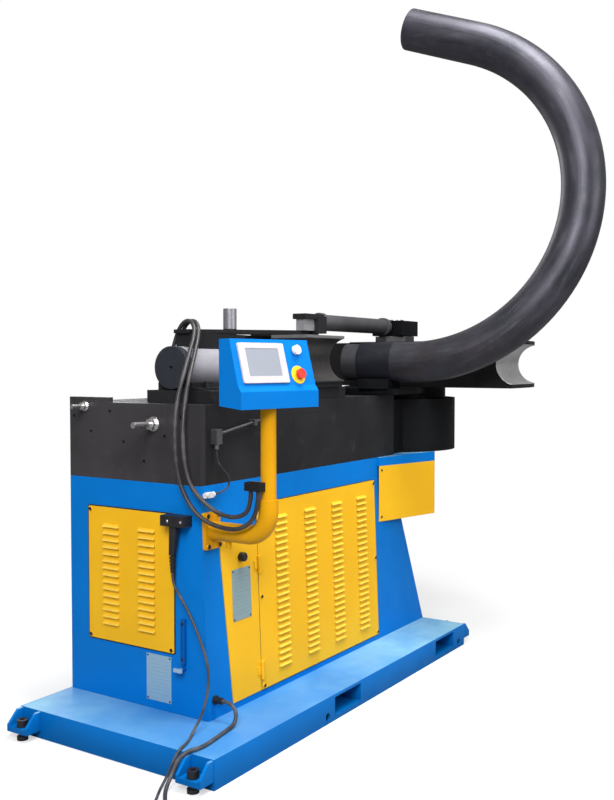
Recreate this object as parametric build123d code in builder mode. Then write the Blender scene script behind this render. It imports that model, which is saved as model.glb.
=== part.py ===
import math
import os

from build123d import *

# Pipe bending machine, millimetres, +Z up, floor at z = 0.
# x runs along the skid toward the bending head, -y is the operator's side.

# skid
skid_l = 1736
skid_w = 812
skid_h = 91
skid_top_t = 12
skid_wall = 10
fork_w = 176
fork_h = 62
fork_z = 49
fork_tube_t = 6
fork_x = [-119, skid_l / 2 - 195]
skid_hole_x = [-253, skid_l / 2 - 55]
skid_hole_z = 24
skid_hole_r = 14
lug_l = 60
lug_w = 92
lug_y = 358
lug_plate_t = 16
lug_plate_z = 26
lug_web_t = 10
bolt_x = skid_l / 2 + 36
bolt_r = 12
bolt_clear = 1
bolt_head_r = 18
bolt_head_h = 24
bolt_pad_r = 18
bolt_pad_h = 12
socket_r = 9
socket_depth = 12

# cabinet
sheet = 4
cab_x0 = -647
cab_foot_x = 866
cab_shoulder_x = 690
cab_shoulder_z = 560
cab_y_back = 400
cab_y_foot = -208
cab_y_top = -179
cab_top = 834
cab_lean = (cab_y_top - cab_y_foot) / (cab_top - skid_h)
lean_angle = math.degrees(math.atan(cab_lean))

bracket_x1 = 880
bracket_y0 = -196
bracket_y1 = 190
bracket_z0 = 798
cover_low = 568
cover_flare_x = 837
cover_flare_y = -277
cover_left_x = 492
cover_back_y = -190

# covers
cover_t = 3
louvre_w = 70
louvre_h = 13
louvre_out = 8
louvre_skin = 1.6
end_cover_y = 120
end_cover_w = 381
end_cover_z = 512
end_cover_h = 452
end_louvre_y = [205, 45]
end_louvre_n = 15
end_louvre_pitch = 23.5
side_cover_x0 = -360
side_cover_x1 = 458
side_cover_z0 = 113
side_cover_z1 = 745
side_louvre_x = [-222, -34, 154, 342]
side_louvre_n = 24
side_louvre_pitch = 22.5
door_gap = 3
door_z1 = 653
door_top_x0 = -566
door_foot_x0 = -520
opening_margin = 18
screw_r = 6
screw_h = 4

# frame on top of the cabinet
frame_y0 = -179
frame_y1 = 400
frame_wall = 25
frame_floor_t = 20
end_plate_t = 25
end_plate_step_y = 220
end_plate_step_h = 17
top_plate_t = 50
top_plate_z = 1040
frame_top = top_plate_z + top_plate_t
neck_x0 = 640
bed_x0 = -568
bed_x1 = 247
bed_y0 = -174
bed_y1 = 115
bed_t = 42
bed_top = frame_top + bed_t
pedestal_x0 = 90
pedestal_l = 110
pedestal_y1 = 168
pedestal_pad = 10
terminal_x0 = -490
terminal_l = 72
terminal_y0 = 84
terminal_w = 28
terminal_h = 48
stud_places = [(323, 1076), (13, 1025)]
stud_r = [7, 9.5]
stud_out = [65, 100]
stud_in = 90

# bending head
head_x = 947
head_y = -20
nose_r = 274
nose_z0 = 838
nose_z1 = 1068
head_gap = 0.3
disc_r = 231
disc_z1 = 1118
shaft_r = 60
run_clear = 0.05
shaft_z0 = 848
shaft_z1 = 1420
pipe_r = 168.3 / 2
pipe_wall = 7.1
bend_r = 673.2
die_r = 640
die_h = 200
die_relief = 14.6
die_straight = 153
groove_clear = 0.5
die_z0 = disc_z1
die_mid = die_z0 + die_h / 2
groove_r = pipe_r + groove_clear
lip_r = die_r - die_relief
die_hub_y1 = 150

# rack drive inside the frame
module_mm = 9
pinion_n = 20
pinion_r = module_mm * pinion_n / 2
backlash = 0.6
pinion_z0 = 915
pinion_h = 70
rack_h = 62
rack_back = 42
rack_x0 = 640
rack_n = 10
rod_r = 20
barrel_r = 58
barrel_x0 = -330
barrel_x1 = 450

# overhead tie and boost unit
boost_y = 10
boost_z = 1207
boost_r = 71
boost_bore_r = 55
boost_x0 = -568
boost_x1 = -200
boost_cap_l = 28
boost_rod_r = 32
boost_stroke = 90
carriage_x0 = -90
carriage_x1 = 196
carriage_y0 = -190
carriage_y1 = 92
carriage_t = 18
carriage_back_t = 22
carriage_back_z = 1300
key_w = 40
key_h = 14
key_y = -50
slide_clear = 0.3
press_y0 = -200
press_y1 = -42
press_z1 = 1326
press_mid = 1236
beam_x0 = -518
beam_x1 = 292
beam_y0 = -22
beam_y1 = 40
beam_z0 = 1322
beam_t = 13
beam_rise = 11
beam_seat_x = 140
beam_seat = 1350
beam_block_x0 = -505
web_y0 = 10
web_z0 = 1303
pin_x = -250
pin_r = 24
pin_top = 1416
valve_x0 = 162
valve_l = 70
valve_y0 = -40
valve_w = 40
valve_h = 45
valve_cap_x0 = 153
valve_cap_w = 60
valve_cap_t = 21
tie_block_w = 80
tie_block_top = 1408
tie_y = head_y
tie_z = 1386
tie_r = 33
tie_x0 = 292
tie_x1 = 846
tie_rod_r = 18
tie_head_x0 = 872
tie_head_x1 = 1031
tie_head_w = 150
tie_head_z0 = 1346
tie_head_h = 68
shaft_top_r = 40
nut_r = 88
nut_h = 26

# console and its arm
post_x = -607
post_y = -412
post_r = 24.15
post_wall = 3
post_z0 = 772
post_z1 = 1112
arm_r = 30
arm_z = 692
clamp_l = 33
clamp_w = 56
clamp_h = 26
clamp_y0 = -418
clamp_z = 836
arm_bend = 75
arm_top = 806
flange_w = 78
flange_h = 118
flange_t = 12
console_z = 1085.5
console_turn = -11
console_l = 325
console_shift = 8
console_front = -48
console_back = 47
console_low = 52
console_ledge_in = 13
console_ledge_up = 17
console_high = 208
console_rise = 9
console_brow = 4
console_sheet = 2
bezel_x = -46
bezel_v = -3
bezel_w = 187
bezel_h = 124
bezel_t = 6
screen_w = 134
screen_h = 86
screen_v = 2
button_x = 99
button_v = 37.5
button_r = 15
button_h = 11
button_travel = 3
estop_x = 94
estop_v = -40
ring_r = 28.5
ring_t = 2
mushroom_r = 16.4
mushroom_h = 11
mushroom_lift = 8
estop_travel = 5
stem_r = 8
stem_clear = 0.05
stem_l = 26

os.makedirs("parts", exist_ok=True)
flat_min = (Align.CENTER, Align.CENTER, Align.MIN)
low_min = (Align.MIN, Align.MIN, Align.MIN)

# skid with fork pockets and foot lugs
with BuildPart() as base_skid:
    Box(skid_l, skid_w, skid_h, align=flat_min)
    inner_l = skid_l - 2 * skid_wall
    inner_w = skid_w - 2 * skid_wall
    Box(inner_l, inner_w, skid_h - skid_top_t, align=flat_min, mode=Mode.SUBTRACT)
    with Locations(*[(x, 0, fork_z) for x in fork_x]):
        Box(fork_w + 2 * fork_tube_t, skid_w, fork_h + 2 * fork_tube_t)
    with Locations(*[(x, 0, fork_z) for x in fork_x]):
        Box(fork_w, skid_w + 2, fork_h, mode=Mode.SUBTRACT)
    with Locations(*[(x, -skid_w / 2, skid_hole_z) for x in skid_hole_x]):
        Cylinder(skid_hole_r, 4 * skid_wall, rotation=(90, 0, 0), mode=Mode.SUBTRACT)
    for end in (-1, 1):
        for side in (-1, 1):
            lug_mid = end * (skid_l + lug_l) / 2
            with Locations((lug_mid, side * lug_y, lug_plate_z)):
                Box(lug_l, lug_w, lug_plate_t, align=flat_min)
            for web in (-1, 1):
                web_y = side * lug_y + web * (lug_w - lug_web_t) / 2
                with BuildSketch(Plane.XZ.offset(-web_y)):
                    with BuildLine():
                        Polyline(
                            (end * skid_l / 2, lug_plate_z),
                            (end * (skid_l / 2 + lug_l), lug_plate_z),
                            (end * (skid_l / 2 + lug_l), lug_plate_z + lug_plate_t + 6),
                            (end * (skid_l / 2 + 20), skid_h - 3),
                            (end * skid_l / 2, skid_h - 3),
                            close=True,
                        )
                    make_face()
                extrude(amount=lug_web_t / 2, both=True)
            with Locations((end * bolt_x, side * lug_y, lug_plate_z)):
                Cylinder(bolt_r + bolt_clear, 4 * lug_plate_t, mode=Mode.SUBTRACT)
base_skid.part.label = "base_skid"
export_step(base_skid.part, "parts/base_skid.step")

bolt_seat = lug_plate_z + lug_plate_t
bolt_places = [(-bolt_x, -lug_y), (-bolt_x, lug_y), (bolt_x, -lug_y), (bolt_x, lug_y)]
with BuildPart() as levelling_bolts:
    for place in bolt_places:
        with Locations((place[0], place[1], 0)):
            Cylinder(bolt_pad_r, bolt_pad_h, align=flat_min)
            Cylinder(bolt_r, bolt_seat + 1, align=flat_min)
        with Locations((place[0], place[1], bolt_seat)):
            Cylinder(bolt_head_r, bolt_head_h, align=flat_min)
        with BuildSketch(Plane.XY.offset(bolt_seat + bolt_head_h)):
            with Locations(place):
                RegularPolygon(socket_r, 6)
        extrude(amount=-socket_depth, mode=Mode.SUBTRACT)
levelling_bolts.part.label = "levelling_bolts"
export_step(levelling_bolts.part, "parts/levelling_bolts.step")

# cabinet shell: the operator's side leans, the head end slopes
side_plane = Plane(origin=(0, cab_y_foot, skid_h), x_dir=(1, 0, 0), z_dir=(0, -1, cab_lean))
end_plane = Plane(origin=(cab_x0, end_cover_y, end_cover_z), x_dir=(0, -1, 0), z_dir=(-1, 0, 0))
door_x1 = side_cover_x0 - door_gap


def cabinet_block(inset, reach):
    """Solid cabinet shape, drawn in by inset and grown by reach at the top and foot."""
    low = skid_h - reach
    high = cab_top + reach
    foot_x = cab_foot_x - 1.1 * inset
    slope = (cab_foot_x - cab_shoulder_x) / (cab_shoulder_z - skid_h)
    with BuildPart(mode=Mode.PRIVATE) as block:
        with BuildSketch(Plane.XZ.offset(-(cab_y_back - inset))):
            with BuildLine():
                Polyline(
                    (cab_x0 + inset, low),
                    (foot_x + slope * reach, low),
                    (cab_shoulder_x - inset, cab_shoulder_z),
                    (cab_shoulder_x - inset, high),
                    (cab_x0 + inset, high),
                    close=True,
                )
            make_face()
        extrude(amount=cab_y_back - cab_y_foot)
        with BuildSketch(Plane.YZ.offset(cab_x0 - 1)):
            with BuildLine():
                Polyline(
                    (cab_y_foot + inset - reach * cab_lean, low),
                    (cab_y_top + inset + reach * cab_lean, high),
                    (cab_y_foot - 50, high),
                    (cab_y_foot - 50, low),
                    close=True,
                )
            make_face()
        extrude(amount=2 * skid_l, mode=Mode.SUBTRACT)
    return block.part


door_points = [
    (door_foot_x0, side_cover_z0 - skid_h),
    (door_x1, side_cover_z0 - skid_h),
    (door_x1, door_z1 - skid_h),
    (door_top_x0, door_z1 - skid_h),
]
flare_share = (neck_x0 - cover_left_x) / (cover_flare_x - cover_left_x)
flare_neck_y = cover_back_y + flare_share * (cover_flare_y - cover_back_y)
flare_outline = [
    (cover_left_x, cover_back_y),
    (cover_flare_x, cover_flare_y),
    (cover_flare_x, 0),
    (neck_x0, 0),
    (neck_x0, cab_y_top + 1),
    (cover_left_x, cab_y_top + 1),
]
with BuildPart() as cabinet:
    add(cabinet_block(0, 0))
    add(cabinet_block(sheet, 5), mode=Mode.SUBTRACT)
    with BuildSketch(end_plane):
        Rectangle(end_cover_w - 2 * opening_margin, end_cover_h - 2 * opening_margin)
    extrude(amount=2 * sheet, both=True, mode=Mode.SUBTRACT)
    with BuildSketch(side_plane):
        with Locations(((side_cover_x0 + side_cover_x1) / 2, (side_cover_z0 + side_cover_z1) / 2 - skid_h)):
            Rectangle(
                side_cover_x1 - side_cover_x0 - 2 * opening_margin,
                side_cover_z1 - side_cover_z0 - 2 * opening_margin,
            )
        with BuildLine():
            Polyline(
                (door_foot_x0 + opening_margin, door_points[0][1] + opening_margin),
                (door_x1 - opening_margin, door_points[1][1] + opening_margin),
                (door_x1 - opening_margin, door_points[2][1] - opening_margin),
                (door_top_x0 + opening_margin, door_points[3][1] - opening_margin),
                close=True,
            )
        make_face()
    extrude(amount=2 * sheet, both=True, mode=Mode.SUBTRACT)
    with Locations((neck_x0, bracket_y0, bracket_z0)):
        Box(bracket_x1 - neck_x0, bracket_y1 - bracket_y0, nose_z0 - bracket_z0, align=low_min)
    with BuildSketch(Plane.XY.offset(bracket_z0)):
        Polygon(*flare_outline, align=None)
    extrude(amount=cab_top - bracket_z0)
    with BuildSketch(Plane.XY.offset(cab_top)):
        Polygon((neck_x0, flare_neck_y), *flare_outline[1:4], align=None)
    extrude(amount=nose_z0 - cab_top)
cabinet.part.label = "cabinet"
export_step(cabinet.part, "parts/cabinet.step")

# louvre: a pressed hood, and the hollow under it that breaks through the sheet
louvre_hood = [
    (-0.5, 0),
    (louvre_out, louvre_h - 3),
    (louvre_out, louvre_h),
    (-0.5, louvre_h),
]
louvre_hollow = [
    (-2 * cover_t, 4),
    (0.6, 4),
    (louvre_out - louvre_skin, louvre_h - 2),
    (louvre_out - louvre_skin, louvre_h + 0.5),
    (0, louvre_h + 0.5),
    (0, louvre_h - 1),
    (-2 * cover_t, louvre_h - 1),
]


def louvre_rows(count, pitch):
    """Sketch places of one column of louvres, down the middle of its cover."""
    return [(0, (i - (count - 1) / 2) * pitch - louvre_h / 2) for i in range(count)]


end_face = end_plane.offset(cover_t)
with BuildPart() as end_cover:
    with BuildSketch(end_plane):
        RectangleRounded(end_cover_w, end_cover_h, 6)
    extrude(amount=cover_t)
    for column in end_louvre_y:
        edge = end_face.from_local_coords((end_cover_y - column - louvre_w / 2, 0, 0))
        hood_plane = Plane(origin=edge, x_dir=(-1, 0, 0), z_dir=(0, -1, 0))
        with BuildSketch(hood_plane):
            with Locations(*louvre_rows(end_louvre_n, end_louvre_pitch)):
                Polygon(*louvre_hood, align=None)
        extrude(amount=louvre_w)
        with BuildSketch(hood_plane.offset(louvre_skin)):
            with Locations(*louvre_rows(end_louvre_n, end_louvre_pitch)):
                Polygon(*louvre_hollow, align=None)
        extrude(amount=louvre_w - 2 * louvre_skin, mode=Mode.SUBTRACT)
    with BuildSketch(end_face):
        with GridLocations(end_cover_w - 22, end_cover_h - 22, 2, 2):
            Circle(screw_r)
    extrude(amount=screw_h)
end_cover.part.label = "end_cover"
export_step(end_cover.part, "parts/end_cover.step")

side_face = side_plane.offset(cover_t)
side_out = (side_plane.z_dir.X, side_plane.z_dir.Y, side_plane.z_dir.Z)
cover_mid_x = (side_cover_x0 + side_cover_x1) / 2
cover_mid_v = (side_cover_z0 + side_cover_z1) / 2 - skid_h
with BuildPart() as side_cover:
    with BuildSketch(side_plane):
        with Locations((cover_mid_x, cover_mid_v)):
            Rectangle(side_cover_x1 - side_cover_x0, side_cover_z1 - side_cover_z0)
    extrude(amount=cover_t)
    for column in side_louvre_x:
        edge = side_face.from_local_coords((column - louvre_w / 2, cover_mid_v, 0))
        hood_plane = Plane(origin=edge, x_dir=side_out, z_dir=(1, 0, 0))
        with BuildSketch(hood_plane):
            with Locations(*louvre_rows(side_louvre_n, side_louvre_pitch)):
                Polygon(*louvre_hood, align=None)
        extrude(amount=louvre_w)
        with BuildSketch(hood_plane.offset(louvre_skin)):
            with Locations(*louvre_rows(side_louvre_n, side_louvre_pitch)):
                Polygon(*louvre_hollow, align=None)
        extrude(amount=louvre_w - 2 * louvre_skin, mode=Mode.SUBTRACT)
    with BuildSketch(side_face):
        with Locations((cover_mid_x, cover_mid_v)):
            screw_step = (side_cover_z1 - side_cover_z0 - 24) / 2
            with GridLocations(side_cover_x1 - side_cover_x0 - 24, screw_step, 2, 3):
                Circle(screw_r)
    extrude(amount=screw_h)
side_cover.part.label = "side_cover"
export_step(side_cover.part, "parts/side_cover.step")

# narrow door, hung on butt hinges over the seam
hinge_v = [90, 450]
hinge_l = 60
hinge_mid = 28
knuckle_r = 6
hinge_pin_r = 3
leaf_t = 2.5
leaf_w = 22
hinge_x = side_cover_x0 - door_gap / 2
hinge_out = cover_t + knuckle_r
knob_x = -457
knob_v = 492
knob_r = 15
knob_h = 20
knob_stem_r = 5
cam_l = 116
cam_w = 16
cam_t = 3
tag_x = -458
tag_v = 370
tag_w = 100
tag_h = 170
tag_t = 1.5
rivet_r = 3
up_dir = (side_plane.y_dir.X, side_plane.y_dir.Y, side_plane.y_dir.Z)
with BuildPart() as side_door:
    with BuildSketch(side_plane):
        with BuildLine():
            Polyline(*door_points, close=True)
        make_face()
    extrude(amount=cover_t)
    for v in hinge_v:
        with BuildSketch(side_plane.offset(cover_t)):
            with Locations((door_x1 - leaf_w / 2, v)):
                Rectangle(leaf_w, hinge_mid)
        extrude(amount=leaf_t)
        foot = side_plane.from_local_coords((hinge_x, v - hinge_mid / 2, hinge_out))
        with BuildSketch(Plane(origin=foot, x_dir=(1, 0, 0), z_dir=up_dir)):
            Circle(knuckle_r)
            with Locations((-knuckle_r, knuckle_r - leaf_t / 2)):
                Rectangle(2 * knuckle_r, leaf_t)
        extrude(amount=hinge_mid)
        with BuildSketch(Plane(origin=foot, x_dir=(1, 0, 0), z_dir=up_dir)):
            Circle(hinge_pin_r + run_clear)
        extrude(amount=hinge_mid, mode=Mode.SUBTRACT)
    with BuildSketch(side_plane):
        with Locations((knob_x, knob_v)):
            Circle(knob_stem_r + run_clear)
    extrude(amount=3 * cover_t, both=True, mode=Mode.SUBTRACT)
side_door.part.label = "side_door"
export_step(side_door.part, "parts/side_door.step")

with BuildPart() as door_hinges:
    for v in hinge_v:
        with BuildSketch(side_plane.offset(cover_t)):
            with Locations((side_cover_x0 + leaf_w / 2, v)):
                Rectangle(leaf_w, hinge_l)
        extrude(amount=leaf_t)
        foot = side_plane.from_local_coords((hinge_x, v - hinge_mid / 2 - slide_clear, hinge_out))
        with BuildSketch(Plane(origin=foot, x_dir=(1, 0, 0), z_dir=up_dir)):
            Circle(knuckle_r + slide_clear)
        extrude(amount=hinge_mid + 2 * slide_clear, mode=Mode.SUBTRACT)
        for share in (-1, 1):
            length = (hinge_l - hinge_mid) / 2 - slide_clear
            start = v + share * (hinge_mid / 2 + slide_clear) - (length if share < 0 else 0)
            foot = side_plane.from_local_coords((hinge_x, start, hinge_out))
            with BuildSketch(Plane(origin=foot, x_dir=(1, 0, 0), z_dir=up_dir)):
                Circle(knuckle_r)
                with Locations((knuckle_r, knuckle_r - leaf_t / 2)):
                    Rectangle(2 * knuckle_r, leaf_t)
            extrude(amount=length)
        foot = side_plane.from_local_coords((hinge_x, v - hinge_l / 2, hinge_out))
        with BuildSketch(Plane(origin=foot, x_dir=(1, 0, 0), z_dir=up_dir)):
            Circle(hinge_pin_r)
        extrude(amount=hinge_l)
door_hinges.part.label = "door_hinges"
export_step(door_hinges.part, "parts/door_hinges.step")

with BuildPart() as door_knob:
    with BuildSketch(side_plane.offset(cover_t + slide_clear)):
        with Locations((knob_x, knob_v)):
            Circle(knob_r)
    extrude(amount=knob_h)
    chamfer(door_knob.edges().filter_by(GeomType.CIRCLE).sort_by(Axis.Y)[0], 3)
    with BuildSketch(side_plane.offset(cover_t + slide_clear)):
        with Locations((knob_x, knob_v)):
            Circle(knob_stem_r)
    extrude(amount=-(cover_t + slide_clear + sheet + slide_clear + cam_t))
    with BuildSketch(side_plane.offset(-sheet - slide_clear)):
        with Locations((knob_x, knob_v - cam_l / 2 + cam_w / 2)):
            Rectangle(cam_w, cam_l)
    extrude(amount=-cam_t)
door_knob.part.label = "door_knob"
export_step(door_knob.part, "parts/door_knob.step")

with BuildPart() as door_tag:
    with BuildSketch(side_face):
        with Locations((tag_x, tag_v)):
            Rectangle(tag_w, tag_h)
    extrude(amount=tag_t)
    with BuildSketch(side_face.offset(tag_t)):
        with Locations((tag_x, tag_v)):
            with GridLocations(tag_w - 12, tag_h - 12, 2, 2):
                Circle(rivet_r)
    extrude(amount=1)
door_tag.part.label = "door_tag"
export_step(door_tag.part, "parts/door_tag.step")

end_tag_y = -2
end_tag_z = 195
end_tag_w = 106
end_tag_h = 153
tag_plane = Plane(origin=(cab_x0, end_tag_y, end_tag_z), x_dir=(0, -1, 0), z_dir=(-1, 0, 0))
with BuildPart() as end_tag:
    with BuildSketch(tag_plane):
        Rectangle(end_tag_w, end_tag_h)
    extrude(amount=tag_t)
    with BuildSketch(tag_plane.offset(tag_t)):
        with GridLocations(end_tag_w - 12, end_tag_h - 12, 2, 2):
            Circle(rivet_r)
    extrude(amount=1)
end_tag.part.label = "end_tag"
export_step(end_tag.part, "parts/end_tag.step")

gauge_y = -111
gauge_z = 333
gauge_w = 16
gauge_h = 142
gauge_d = 12
cock_z = 244
with BuildPart() as oil_gauge:
    with Locations((cab_x0 - gauge_d / 2, gauge_y, gauge_z)):
        Box(gauge_d, gauge_w, gauge_h)
    with Locations((cab_x0 - gauge_d, gauge_y, gauge_z)):
        Box(gauge_d / 2, gauge_w / 2, gauge_h - 30, mode=Mode.SUBTRACT)
    with Locations((cab_x0 - 15, gauge_y, cock_z)):
        Cylinder(7, 30, rotation=(0, 90, 0))
    with Locations((cab_x0 - 27, gauge_y + 6, cock_z)):
        Box(6, 34, 12)
    with Locations((cab_x0, gauge_y - 4, cock_z)):
        Box(8, 8, 30, align=(Align.MAX, Align.MIN, Align.MIN))
oil_gauge.part.label = "oil_gauge"
export_step(oil_gauge.part, "parts/oil_gauge.step")

# bracket and cover under the overhanging nose
cover_outline = [
    (cover_left_x, cover_back_y),
    (cover_flare_x, cover_flare_y),
    (cover_flare_x, bracket_y1),
    (cab_shoulder_x, bracket_y1),
    (cab_shoulder_x, cover_back_y),
]
with BuildPart() as head_cover:
    with BuildSketch(Plane.XY.offset(cover_low)):
        with BuildLine():
            Polyline(*cover_outline, close=True)
        make_face()
    extrude(amount=bracket_z0 - cover_low)
    with BuildSketch(Plane.XY.offset(cover_low + cover_t)):
        with BuildLine():
            Polyline(
                (cover_left_x + 30, cover_back_y - cover_t),
                (cover_flare_x - cover_t, cover_flare_y + 1.2 * cover_t),
                (cover_flare_x - cover_t, bracket_y1 - cover_t),
                (cab_shoulder_x - 1, bracket_y1 - cover_t),
                (cab_shoulder_x - 1, cover_back_y - cover_t),
                close=True,
            )
        make_face()
    extrude(amount=bracket_z0 - cover_low, mode=Mode.SUBTRACT)
head_cover.part.label = "head_cover"
export_step(head_cover.part, "parts/head_cover.step")

# black frame: channel, end plate, top plate, bed plate
frame_x0 = cab_x0 + end_plate_t
frame_w = frame_y1 - frame_y0
with BuildPart() as frame_channel:
    with Locations((frame_x0, frame_y0, cab_top)):
        Box(neck_x0 - frame_x0, frame_w, top_plate_z - cab_top, align=low_min)
    with Locations((frame_x0 - 1, frame_y0 + frame_wall, cab_top + frame_floor_t)):
        inner_w = frame_w - 2 * frame_wall
        Box(neck_x0 - frame_x0 + 2, inner_w, top_plate_z - cab_top, align=low_min, mode=Mode.SUBTRACT)
frame_channel.part.label = "frame_channel"
export_step(frame_channel.part, "parts/frame_channel.step")

tap_places = [(380, 1040), (300, 990), (212, 1060), (150, 960), (60, 900), (-30, 985), (-100, 1050)]
with BuildPart() as end_plate:
    with Locations((cab_x0, frame_y0, cab_top)):
        Box(end_plate_t, frame_w, frame_top - cab_top, align=low_min)
    with Locations((cab_x0, end_plate_step_y, frame_top - 1)):
        Box(end_plate_t, frame_y1 - end_plate_step_y, end_plate_step_h + 1, align=low_min)
    for place, radius in zip(stud_places, stud_r):
        with Locations((cab_x0 + end_plate_t / 2, place[0], place[1])):
            Cylinder(radius + bolt_clear, 2 * end_plate_t, rotation=(0, 90, 0), mode=Mode.SUBTRACT)
    with Locations(*[(cab_x0, y, z) for y, z in tap_places]):
        Cylinder(6, 24, rotation=(0, 90, 0), mode=Mode.SUBTRACT)
end_plate.part.label = "end_plate"
export_step(end_plate.part, "parts/end_plate.step")

with BuildPart() as top_plate:
    with Locations((frame_x0, frame_y0, top_plate_z)):
        Box(neck_x0 - frame_x0, frame_w, top_plate_t, align=low_min)
    for place, radius in zip(stud_places, stud_r):
        with Locations((frame_x0, place[0], place[1])):
            Cylinder(radius + bolt_clear, 2 * stud_in + 40, rotation=(0, 90, 0), mode=Mode.SUBTRACT)
top_plate.part.label = "top_plate"
export_step(top_plate.part, "parts/top_plate.step")

washer_t = 6
with BuildPart() as tension_studs:
    for place, radius, out in zip(stud_places, stud_r, stud_out):
        with Locations((cab_x0 - out, place[0], place[1])):
            Cylinder(radius, out + end_plate_t + stud_in, rotation=(0, 90, 0), align=flat_min)
        with Locations((cab_x0 - washer_t, place[0], place[1])):
            Cylinder(2.5 * radius, washer_t, rotation=(0, 90, 0), align=flat_min)
        nut_from = (cab_x0 - washer_t, place[0], place[1])
        with BuildSketch(Plane(origin=nut_from, x_dir=(0, 1, 0), z_dir=(-1, 0, 0))):
            RegularPolygon(2 * radius, 6)
        extrude(amount=2 * radius)
tension_studs.part.label = "tension_studs"
export_step(tension_studs.part, "parts/tension_studs.step")

with BuildPart() as bed_plate:
    with Locations((bed_x0, bed_y0, frame_top)):
        Box(bed_x1 - bed_x0, bed_y1 - bed_y0, bed_t, align=low_min)
    with Locations((pedestal_x0 - pedestal_pad, bed_y0, frame_top)):
        Box(pedestal_l + 2 * pedestal_pad, pedestal_y1 - bed_y0, bed_t, align=low_min)
    with Locations((terminal_x0, terminal_y0, bed_top - 1)):
        Box(terminal_l, terminal_w, terminal_h + 1, align=low_min)
    with Locations((carriage_x0 - boost_stroke - 10, key_y - key_w / 2, bed_top - key_h - slide_clear)):
        Box(skid_l, key_w, 2 * key_h, align=low_min, mode=Mode.SUBTRACT)
bed_plate.part.label = "bed_plate"
export_step(bed_plate.part, "parts/bed_plate.step")

# nose housing with the pinion pocket and the rack slot
pocket_r = 104
cap_h = 60
pocket_z1 = 990
pitch_y = head_y + pinion_r
rack_y1 = pitch_y + 1.25 * module_mm + rack_back
slot_gap = 4
slot_x1 = 1142
with BuildPart() as nose_housing:
    with BuildSketch(Plane.XY.offset(nose_z0)):
        with Locations((head_x, head_y)):
            Circle(nose_r)
        with Locations((neck_x0, frame_y0)):
            Rectangle(head_x - neck_x0, head_y + nose_r - frame_y0, align=(Align.MIN, Align.MIN))
    extrude(amount=nose_z1 - nose_z0)
    with Locations((head_x, head_y, nose_z0)):
        Cylinder(pocket_r, pocket_z1 - nose_z0, align=flat_min, mode=Mode.SUBTRACT)
        Cylinder(shaft_r + run_clear, nose_z1 - nose_z0, align=flat_min, mode=Mode.SUBTRACT)
    with Locations((neck_x0 - 1, pitch_y - 10, pinion_z0 + pinion_h / 2 - rack_h / 2 - slot_gap)):
        slot_w = rack_y1 + slot_gap - pitch_y + 10
        Box(slot_x1 - neck_x0 + 1, slot_w, rack_h + 2 * slot_gap, align=low_min, mode=Mode.SUBTRACT)
nose_housing.part.label = "nose_housing"
export_step(nose_housing.part, "parts/nose_housing.step")

with BuildPart() as nose_cap:
    with Locations((head_x, head_y, nose_z0)):
        Cylinder(pocket_r, cap_h, align=flat_min)
        Cylinder(shaft_r + run_clear, cap_h, align=flat_min, mode=Mode.SUBTRACT)
nose_cap.part.label = "nose_cap"
export_step(nose_cap.part, "parts/nose_cap.step")

# turning group: shaft, pinion, turntable with arm, die, clamp nut
die_z1 = die_z0 + die_h
with BuildPart() as main_shaft:
    with Locations((head_x, head_y, shaft_z0)):
        Cylinder(shaft_r, die_z1 + nut_h - shaft_z0, align=flat_min)
        Cylinder(shaft_top_r, shaft_z1 - shaft_z0, align=flat_min)
    with BuildSketch(Plane(origin=(head_x, head_y, die_z1))):
        RegularPolygon(nut_r, 6)
    extrude(amount=nut_h)
main_shaft.part.label = "main_shaft"
export_step(main_shaft.part, "parts/main_shaft.step")

pressure = math.radians(20)
base_r = pinion_r * math.cos(pressure)
tip_r = pinion_r + module_mm
root_r = pinion_r - 1.25 * module_mm
tooth_half = (math.pi * module_mm / 2 - backlash / 2) / 2
pinion_points = []
for tooth in range(pinion_n):
    middle = math.pi / 2 + 2 * math.pi * tooth / pinion_n
    flank = []
    for step in range(7):
        radius = base_r + (tip_r - base_r) * step / 6
        roll = math.acos(base_r / radius)
        half = tooth_half / pinion_r + (math.tan(pressure) - pressure) - (math.tan(roll) - roll)
        flank.append((radius, half))
    flank.insert(0, (root_r, flank[0][1]))
    for radius, half in flank:
        pinion_points.append((radius * math.cos(middle - half), radius * math.sin(middle - half)))
    for radius, half in reversed(flank):
        pinion_points.append((radius * math.cos(middle + half), radius * math.sin(middle + half)))
with BuildPart() as drive_pinion:
    with BuildSketch(Plane(origin=(head_x, head_y, pinion_z0))):
        with BuildLine():
            Polyline(*pinion_points, close=True)
        make_face()
        Circle(shaft_r, mode=Mode.SUBTRACT)
    extrude(amount=pinion_h)
drive_pinion.part.label = "drive_pinion"
export_step(drive_pinion.part, "parts/drive_pinion.step")

pitch = math.pi * module_mm
tooth_low = tooth_half + 1.25 * module_mm * math.tan(pressure)
tooth_high = tooth_half - module_mm * math.tan(pressure)
rack_first = -4
rack_points = [(rack_x0, rack_y1), (rack_x0, pitch_y + 1.25 * module_mm)]
for tooth in range(rack_first, rack_first + rack_n):
    middle = head_x + (tooth + 0.5) * pitch
    rack_points.append((middle - tooth_low, pitch_y + 1.25 * module_mm))
    rack_points.append((middle - tooth_high, pitch_y - module_mm))
    rack_points.append((middle + tooth_high, pitch_y - module_mm))
    rack_points.append((middle + tooth_low, pitch_y + 1.25 * module_mm))
rack_x1 = rack_points[-1][0] + 3
rack_points.append((rack_x1, pitch_y + 1.25 * module_mm))
rack_points.append((rack_x1, rack_y1))
rack_mid_y = rack_y1 - rack_back / 2
rack_mid_z = pinion_z0 + pinion_h / 2
piston_l = 50
piston_x = 180
barrel_bore_r = 46
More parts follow.
